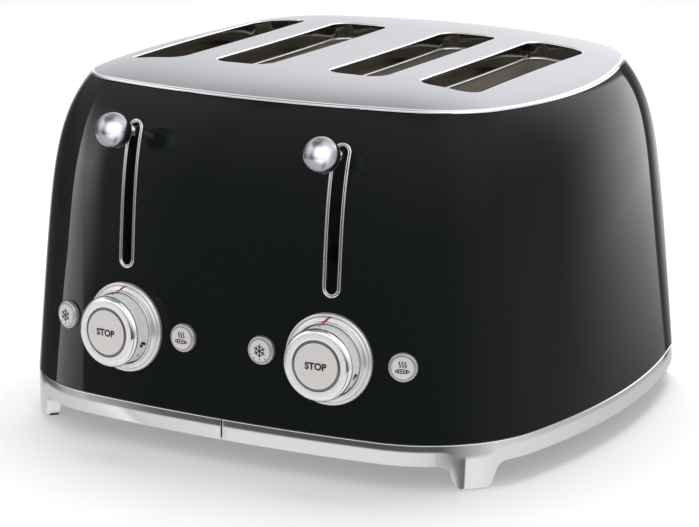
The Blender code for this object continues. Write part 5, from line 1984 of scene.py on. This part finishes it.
    def _wrap(self, form: Form, degrees: float, height: float) -> None:
        """Bend flat print round the band, its top towards the body.

        Args:
            form: The print, in the X and Y plane.
            degrees: Its middle's place, clockwise from the top.
            height: Its middle's height on the band.
        """
        bent = []
        for x, y, z in form.points:
            angle = math.radians(degrees) + x / self.band_radius
            radius = self.band_radius + self.print_rise + z
            bent.append((radius * math.sin(angle), radius * math.cos(angle), height - y))
        form.points = bent

    def _small_button(self, label: str, x: float) -> None:
        """Make one small button and its icon.

        Args:
            label: What the button does.
            x: Its distance from the toaster's middle.
        """
        name = f"{label}_{self.side.value}"
        place = BODY @ FORM.control(self.side.sign * x)
        radius, proud = 0.0079, 0.0030
        face = [(0.0, proud), (0.0035, proud), (0.0056, proud), (0.00585, proud - 0.00006)]
        face += [(0.00605, proud - 0.0003), (0.0061, proud - 0.0007)]
        rim = [face[-1], (0.00625, proud - 0.00095), (0.0065, proud - 0.00095)]
        rim += [(0.0067, proud - 0.0008), (0.0071, proud - 0.00078), (0.0075, proud - 0.00095)]
        rim += [(0.0078, proud - 0.0013), (radius, proud - 0.0018), (radius, -0.0027)]
        rim += [(0.0093, -0.0027), (0.0093, -0.0037), (0.0022, -0.0037), (0.0022, -0.009)]
        rim += [(0.0, -0.009)]
        form = Form()
        form.turned(face, 72)
        form.turned(rim, 72, mark=1)
        button = form.piece(f"{label}_push_{self.side.value}", (DISC_SILVER, RING_SILVER), place)
        install(button, name, "button", f"{label}_button_{self.side.value}")
        icon = Icon.SNOWFLAKE if label == "defrost" else Icon.STEAM
        lift = Matrix.Translation((0.0, 0.0, proud)) @ Matrix.Diagonal((1.4, 1.4, 1.0, 1.0))
        print_ = self._icon(icon).piece(f"{label}_icon_{self.side.value}", (PRINT_AND_SHADE_BLACK,), place @ lift)
        install(print_, name, "button")

    def _icon(self, icon: Icon) -> Form:
        """The print of a small button, about seven millimetres across.

        Args:
            icon: What it shows.

        Returns:
            Its form.
        """
        high, low = self.print_rise, -self.print_rise
        form = Form()
        if icon is Icon.SNOWFLAKE:
            for i in range(6):
                turn = Matrix.Rotation(math.radians(60 * i), 4, "Z")
                form.merge(strip([(0, 0), (0, 0.0012), (0, 0.0026)], 0.00044, low, high), turn)
                for side in (-1, 1):
                    branch = [(0, 0.00125), (side * 0.0004, 0.0016), (side * 0.0008, 0.00195)]
                    form.merge(strip(branch, 0.00038, low, high), turn)
            for x, y in ((-0.0024, -0.0029), (0.0, -0.0034), (0.0024, -0.0029)):
                form.merge(dot(x, y, 0.00028, low, high))
            return form
        for x in (-0.0011, 0.0, 0.0011):
            wave = [
                (x + 0.0003 * math.sin(t * 2 * math.pi) + 0.0002 * t, 0.0002 + 0.0024 * t)
                for t in np.linspace(0, 1, 15)
            ]
            form.merge(strip(wave, 0.00044, low, high))
        row = [
            (0.0027 * math.cos(a), -0.0012 + 0.00072 * math.sin(a))
            for a in np.linspace(0, 2 * math.pi, 36, endpoint=False)
        ]
        form.merge(strip(row, 0.00032, low, high, closed=True))
        for x in (-0.0016, -0.0006, 0.0005, 0.0016):
            form.merge(dot(x, -0.0012, 0.00038, low, high))
        return form


@dataclass(frozen=True)
class Gland:
    """The ribbed cable gland in the rear of the shell."""

    x: float = 0.0600
    z: float = 0.0480

    def matrix(self) -> Matrix:
        """Where it sits, with Z outward from the rear face.

        Returns:
            Its matrix.
        """
        flip = Vector((1, -1, 1))
        normal = FORM.front_normal(self.x, self.z) * flip
        turn = normal.to_track_quat("Z", "Y").to_matrix().to_4x4()
        return Matrix.Translation(FORM.front_point(self.x, self.z) * flip) @ turn

    def build(self) -> None:
        """Make the gland."""
        profile = [(0.0, 0.0070), (0.0028, 0.0070), (0.003, 0.0075), (0.003, 0.0088)]
        profile += [(0.0032, 0.009), (0.0042, 0.009), (0.0045, 0.0087)]
        for i in range(4):
            z, radius = 0.0082 - i * 0.0014, 0.0046 + i * 0.0003
            profile += [(radius, z), (radius - 0.0006, z - 0.0003), (radius - 0.0005, z - 0.0007)]
            profile += [(radius + 0.0002, z - 0.0010)]
        profile += [(0.0058, 0.0024), (0.0078, 0.0021), (0.0084, 0.0017), (0.0085, 0.0010)]
        profile += [(0.0084, 0.0006), (0.0056, 0.0006), (0.0056, -0.006), (0.0, -0.006)]
        form = Form()
        form.turned(profile, 48)
        piece = form.piece("mains_gland", (RUBBER,), BODY @ self.matrix())
        install(piece, "housing", "rubber", "cable_gland")


@dataclass(frozen=True)
class Interior:
    """Finishes of the nodes that stay, the heaters' windings and the base's screws."""

    nodes: dict[str, bpy.types.Object] = field(default_factory=dict)
    winding_turns: int = 15
    ribbon_width: float = 0.0016

    def build(self) -> None:
        """Dress the nodes and add the windings and screws."""
        for name, node in self.nodes.items():
            for start, finish in NODE_FINISHES:
                if name.startswith(start):
                    self._dress(node, finish)
        for name in sorted(self.nodes):
            if name.startswith("heater_"):
                self._winding(name)
        self._screws()

    @staticmethod
    def _dress(node: bpy.types.Object, finish: Finish) -> None:
        """Put a finish on a node.

        Args:
            node: The node's object.
            finish: Its finish.
        """
        if not node.material_slots:
            node.data.materials.append(finish.material())
        for slot in node.material_slots:
            slot.material = finish.material()
        LOG.info("%s is finished in %s", node.name, finish.name)

    def _winding(self, name: str) -> None:
        """Wind a flat heating ribbon to and fro over both faces of a heater's board.

        Args:
            name: The heater's node.
        """
        low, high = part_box(name)
        middle, half = (low.x + high.x) / 2, (high.x - low.x) / 2
        path: list[Pair] = []
        heights = np.linspace(low.z + 0.008, high.z - 0.008, self.winding_turns)
        for i, z in enumerate(heights):
            ends = (low.y + 0.005, high.y - 0.005)
            path += [(y, float(z)) for y in (ends if i % 2 == 0 else ends[::-1])]
        form = Form()
        for face in (-1, 1):
            line = strip(path, self.ribbon_width, half + 0.00005, half + 0.00025)
            line.points = [(middle + face * h, y, z) for y, z, h in line.points]
            form.merge(line)
        piece = form.piece(name.replace("heater", "heater_winding"), (RIBBON,), Matrix())
        install(piece, "housing", "mica")

    @staticmethod
    def _screws() -> None:
        """Fix the base plate with six cross-headed screws, each cross recess a black inlay of
        painted shade.
        """
        profile = [(0.0, 0.0146), (0.0036, 0.0146), (0.0036, 0.0141), (0.0033, 0.0134)]
        profile += [(0.0026, 0.0129), (0.0014, 0.0126), (0.0, 0.01255)]
        places = [(x, y) for y in (-0.06, 0.06) for x in (-0.14, 0.14)]
        for number, (x, y) in enumerate([*places, (-0.05, 0.132), (0.05, 0.132)]):
            form = Form()
            form.turned(profile, 36)
            for turn in (0, 90):
                # The cross is a raised black strip: painted shade standing for the recess.
                cross = strip([(-0.0017, 0), (0, 0), (0.0017, 0)], 0.0006, 0.0125, 0.0132)
                form.merge(cross, Matrix.Rotation(math.radians(turn), 4, "Z"), mark=1)
            place = BODY @ Matrix.Translation((x, y, 0))
            install(form.piece(f"base_screw_{number}", (SCREW, PRINT_AND_SHADE_BLACK), place), "housing", "base")


@dataclass(frozen=True)
class Studio:
    """The pale floor, the soft lights, the white surroundings and the camera.

    The levels are brightnesses over degrees: above the horizon at the front, at the back and
    right behind, round the horizon, up the box light at the right rear, and round the ground
    near the base. The glow curves give its left edge, right end and brightness over degrees
    above the horizon; the first two are moved up by glow_shift, as a curve has no heights below
    nought. Headings and rises are in degrees.
    """

    floor_half: float = 6.0
    camera_place: Point = (0.7513, -1.3652, 0.4830)
    yaw: float = math.radians(29.045)
    pitch: float = math.radians(-14.572)
    lens: float = 141.06
    sky: float = 0.66
    sky_front: float = 12.0
    sky_reach: Pair = (35.0, 115.0)
    sky_levels: Pair = (0.62, 1.32)
    floor_glow: float = 0.31
    lamp_place: Point = (-0.1, 0.55, 1.6)
    lamp_aim: Point = (0.0, 0.05, 0.1)
    lamp_size: Pair = (1.3, 1.0)
    lamp_watts: float = 30.0
    front_end: Pair = (60.0, 120.0)
    dark_heading: float = -72.0
    dark_reach: Pair = (30.0, 45.0)
    dark_rise: Pair = (38.0, 52.0)
    dark_share: float = 0.75
    behind_heading: float = -151.0
    behind_reach: Pair = (14.0, 30.0)
    behind_slope: float = 0.02
    box_start: Pair = (130.0, 161.0)
    box_end: Pair = (177.2, 177.9)
    box_corner: Pair = (176.0, 9.0)
    box_slope: float = 0.9
    box_soft: float = 0.8
    ground_edge: Pair = (-16.5, -15.2)
    front_rise: Curve = (
        (-20, 0.0), (-8, 0.0), (0, 0.08), (5, 0.28), (10, 0.43), (17, 0.63), (27, 0.83), (40, 1.1),
        (56, 1.15), (66, 0.7), (90, 0.42),
    )
    back_rise: Curve = (
        (-20, 0.0), (6, 0.0), (15, 0.25), (20, 0.42), (27, 0.62), (33, 0.74), (50, 0.62),
        (90, 0.42),
    )
    behind_rise: Curve = (
        (-20, 1.1), (-10, 1.35), (0, 1.28), (10, 1.16), (18, 1.18), (26, 1.12), (34, 0.86),
        (45, 0.55), (90, 0.42),
    )
    round_level: Curve = (
        (-180, 0.12), (-150, 0.12), (-100, 0.13), (-88, 0.2), (-80, 0.35), (-70, 0.5), (-50, 0.6),
        (-44, 0.4), (-38, 0.15), (-20, 0.1), (40, 0.12), (57, 0.4), (86, 0.82), (120, 0.75),
        (131, 0.62), (177, 0.5), (178, 0.13), (180, 0.12),
    )
    box_level: Curve = (
        (-18, 0.45), (-13.7, 0.55), (-12, 1.0), (-11, 1.3), (-9, 2.0), (-3, 2.55), (5, 2.7),
        (15, 2.4), (30, 2.2),
    )
    ground_level: Curve = (
        (-180, 0.66), (-110, 0.69), (-90, 0.72), (-67, 0.77), (-50, 0.82), (-47, 0.85),
        (-45.8, 0.93), (-44, 1.12), (-43.6, 1.12), (-43.4, 0.28), (-42.8, 0.5), (-42, 0.8),
        (-32, 0.92), (-11, 0.94), (14, 0.92), (30, 0.84), (38, 0.6), (47, 0.37), (55, 0.23),
        (59.5, 0.16), (60.2, 0.98), (68, 1.02), (77, 0.97), (90, 0.9), (111, 0.89), (128, 0.86),
        (147, 0.74), (172, 0.66), (180, 0.66),
    )
    glow_edge: Curve = (
        (-24, 6.0), (-13, 16.0), (-11.6, 18.5), (-9.7, 21.0), (-7.8, 24.5), (-4, 26.2), (0, 27.0),
        (6, 27.5), (12, 26.0), (20, 21.0), (25, 17.0), (34, 8.0),
    )
    glow_end: Curve = (
        (-24, 55.0), (-13, 54.0), (-7.7, 51.8), (-2.3, 48.8), (6, 45.4), (12, 43.5), (20, 40.0),
        (34, 30.0),
    )
    glow_bright: Curve = (
        (-24, 2.0), (-13, 3.8), (-11.2, 4.5), (-9.7, 6.0), (-7.8, 6.8), (-4, 8.3), (0, 9.9),
        (6, 11.4), (12, 7.5), (20, 3.4), (25, 0.8), (29, 0.0), (34, 0.0),
    )
    glow_shift: float = 100.0
    glow_fade: float = 0.4
    glow_lead: float = 4.0
    glow_soft: Pair = (0.35, 4.5)
    glow_radius: float = 3.0
    front_glow: float = 1.9
    front_glow_edge: Pair = (0.42, 0.97)
    glow_centre: Point = (-0.1, -0.14, 0.1)

    def build(self) -> None:
        """Make the stage."""
        self._floor()
        self._world()
        self._lamp()
        self._left_glow()
        self._front_glow()
        self._camera()

    def _floor(self) -> None:
        """Lay a wide pale floor."""
        material = bpy.data.materials.new("studio_floor")
        graph = Graph(material)
        shader = graph.node(
            "ShaderNodeBsdfPrincipled",
            None,
            {
                "Base Color": graph.mix(graph.noise(1.5), (204, 204, 206), (208, 208, 209)),
                "Roughness": 0.9,
                "Specular IOR Level": 0.0,
                "Emission Color": (1.0, 1.0, 1.0, 1.0),
                "Emission Strength": self.floor_glow,
            },
        )
        graph.show(shader.outputs["BSDF"])
        half = self.floor_half
        form = Form()
        corners = [(-half, -half, 0), (half, -half, 0), (half, half, 0), (-half, half, 0)]
        form.add(corners, [(0, 1, 2, 3)])
        floor = form.piece("studio_floor", (), Matrix())
        floor.data.materials.append(material)
        floor.visible_glossy = False

    def _mirrored(self, graph: Graph, heading: Value, rise: Value) -> Value:
        """What polished surfaces see of the surroundings.

        Args:
            graph: The world's graph.
            heading: Degrees from the front towards the right.
            rise: Degrees above the horizon.

        Returns:
            The brightness in that direction.
        """
        ahead = 1 - heading.size().ease(*self.front_end)
        above = graph.levels(rise, self.front_rise) * ahead
        above = above + graph.levels(rise, self.back_rise) * (1 - ahead)
        seen = graph.levels(heading, self.round_level) + above
        dark = 1 - (heading - self.dark_heading).size().ease(*self.dark_reach)
        seen = seen * (1 - dark * rise.ease(*self.dark_rise) * self.dark_share)
        off = heading - self.behind_heading
        behind = 1 - off.size().ease(*self.behind_reach)
        lit = graph.levels(rise, self.behind_rise) * (1 - off * self.behind_slope)
        seen = seen * (1 - behind) + lit * behind
        corner_heading, corner_rise = self.box_corner
        roof = (corner_heading - heading) * self.box_slope + corner_rise
        box = heading.ease(*self.box_start) * (1 - heading.ease(*self.box_end))
        box = box * (1 - (rise - roof).ease(-self.box_soft, self.box_soft))
        seen = seen * (1 - box) + graph.levels(rise, self.box_level) * box
        low = 1 - rise.ease(*self.ground_edge)
        return seen * (1 - low) + graph.levels(heading, self.ground_level) * low

    def _world(self) -> None:
        """Surround the toaster with white, dimmer for the light that it sheds on things."""
        world = bpy.data.worlds.new("studio_white")
        bpy.context.scene.world = world
        graph = Graph(world)
        way = graph.node("ShaderNodeTexCoord").outputs["Generated"]
        x, y, z = graph.parts(way)
        heading = x.degrees_round(y * -1)
        seen = self._mirrored(graph, heading, z.degrees_up())
        path = graph.node("ShaderNodeLightPath")
        camera = Value(graph, path.outputs["Is Camera Ray"])
        glossy = Value(graph, path.outputs["Is Glossy Ray"])
        rear, front = self.sky_levels
        turned = (heading - self.sky_front).size().ease(*self.sky_reach)
        shed = (1 - turned) * (front - rear) + rear
        level = camera + glossy * seen + (1 - camera - glossy).at_least(0.0) * self.sky * shed
        values = {"Color": graph.grey(level), "Strength": 1.0}
        shader = graph.node("ShaderNodeBackground", None, values)
        graph.show(shader.outputs[0])

    def _lamp(self) -> None:
        """Hang a soft lamp above and behind, which polished surfaces don't mirror."""
        data = bpy.data.lights.new("overhead_softbox", "AREA")
        data.shape = "RECTANGLE"
        data.size, data.size_y = self.lamp_size
        data.energy = self.lamp_watts
        lamp = bpy.data.objects.new("overhead_softbox", data)
        bpy.context.scene.collection.objects.link(lamp)
        lamp.location = self.lamp_place
        aim = Vector(self.lamp_aim) - Vector(self.lamp_place)
        lamp.rotation_euler = aim.to_track_quat("-Z", "Y").to_euler()
        lamp.visible_camera = False
        lamp.visible_glossy = False

    def _left_glow(self) -> None:
        """Hang the far glow at the left that only the black shell mirrors."""
        graph = Graph(bpy.data.materials.new("left_glow"))
        x, y, z = graph.parts(graph.where())
        radius = (x * x + y * y + z * z) ** 0.5
        heading, rise = x.degrees_round(y * -1), (z / radius).degrees_up()
        edge = graph.levels(rise, self.glow_edge) - self.glow_shift
        end = graph.levels(rise, self.glow_end) - self.glow_shift
        edge_soft, end_soft = self.glow_soft
        along = (heading - edge) / (end - edge - self.glow_lead)
        shape = 1 - along.at_least(0.0).at_most(1.0) * self.glow_fade
        shape = shape * (1 - (heading - end).ease(-end_soft, 0.0))
        shape = shape * (heading - edge).ease(-edge_soft, edge_soft)
        shape = shape * graph.levels(rise, self.glow_bright)
        self._screen(graph, shape, (-100, -44), (-24, 34), ("body_shell_skin",))

    def _front_glow(self) -> None:
        """Hang the soft round glow in front that only the lever balls mirror."""
        graph = Graph(bpy.data.materials.new("front_glow"))
        x, y, z = graph.parts(graph.where())
        aim = (Vector(self.camera_place) - Vector(self.glow_centre)).normalized()
        towards = (x * aim.x + y * aim.y + z * aim.z) / self.glow_radius
        shape = towards.ease(*self.front_glow_edge) * self.front_glow
        viewers = [f"lever_knob_{side.value}" for side in Side]
        self._screen(graph, shape, (-40, 98), (-55, 82), viewers)

    def _screen(
        self,
        graph: Graph,
        shape: Value,
        headings: Pair,
        rises: Pair,
        viewers: Sequence[str],
    ) -> None:
        """Make a clear far screen whose glow only some pieces mirror.

        Args:
            graph: The screen's graph.
            shape: The glow's brightness.
            headings: The screen's reach round the toaster in degrees.
            rises: Its reach above the horizon in degrees.
            viewers: Names of the pieces that mirror it.
        """
        values = {"Color": graph.grey(shape), "Strength": 1.0}
        light = graph.node("ShaderNodeEmission", None, values)
        clear = graph.node("ShaderNodeBsdfTransparent")
        both = graph.node("ShaderNodeAddShader", None, {0: light.outputs[0], 1: clear.outputs[0]})
        graph.show(both.outputs[0])
        turn = np.radians(np.linspace(*headings, 32))
        rows = []
        for up in np.radians(np.linspace(*rises, 24)):
            flat, high = math.cos(up) * self.glow_radius, math.sin(up) * self.glow_radius
            row = (np.sin(turn) * flat, -np.cos(turn) * flat, np.full(len(turn), high))
            rows.append(np.column_stack(row))
        form = Form()
        form.rows(np.array(rows), ring=False)
        name = graph.owner.name
        screen = form.piece(name, (), Matrix.Translation(self.glow_centre))
        screen.data.materials.append(graph.owner)
        screen.visible_camera = False
        screen.visible_diffuse = False
        screen.visible_shadow = False
        chosen = bpy.data.collections.new(f"{name}_viewers")
        for viewer in viewers:
            chosen.objects.link(bpy.data.objects[viewer])
        screen.light_linking.receiver_collection = chosen

    def _camera(self) -> None:
        """Set the camera at the photograph's view."""
        data = bpy.data.cameras.new("camera")
        data.sensor_width = 36.0
        data.lens = self.lens
        data.clip_end = 50.0
        camera = bpy.data.objects.new("camera", data)
        bpy.context.scene.collection.objects.link(camera)
        camera.location = self.camera_place
        camera.rotation_euler = (math.pi / 2 + self.pitch, 0.0, self.yaw)
        bpy.context.scene.camera = camera


def main() -> None:
    """Load the frame, dress the toaster and build the stage."""
    logging.basicConfig(level=logging.INFO, format="%(name)s: %(message)s")
    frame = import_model()
    bpy.context.scene.view_settings.view_transform = "Standard"
    Shell().build()
    TopPanel().build()
    Band().build()
    for side in Side:
        LeverUnit(side).build()
        ControlUnit(side).build()
    Gland().build()
    Interior(frame["nodes"]).build()
    Studio().build()


if __name__ == "__main__":
    main()
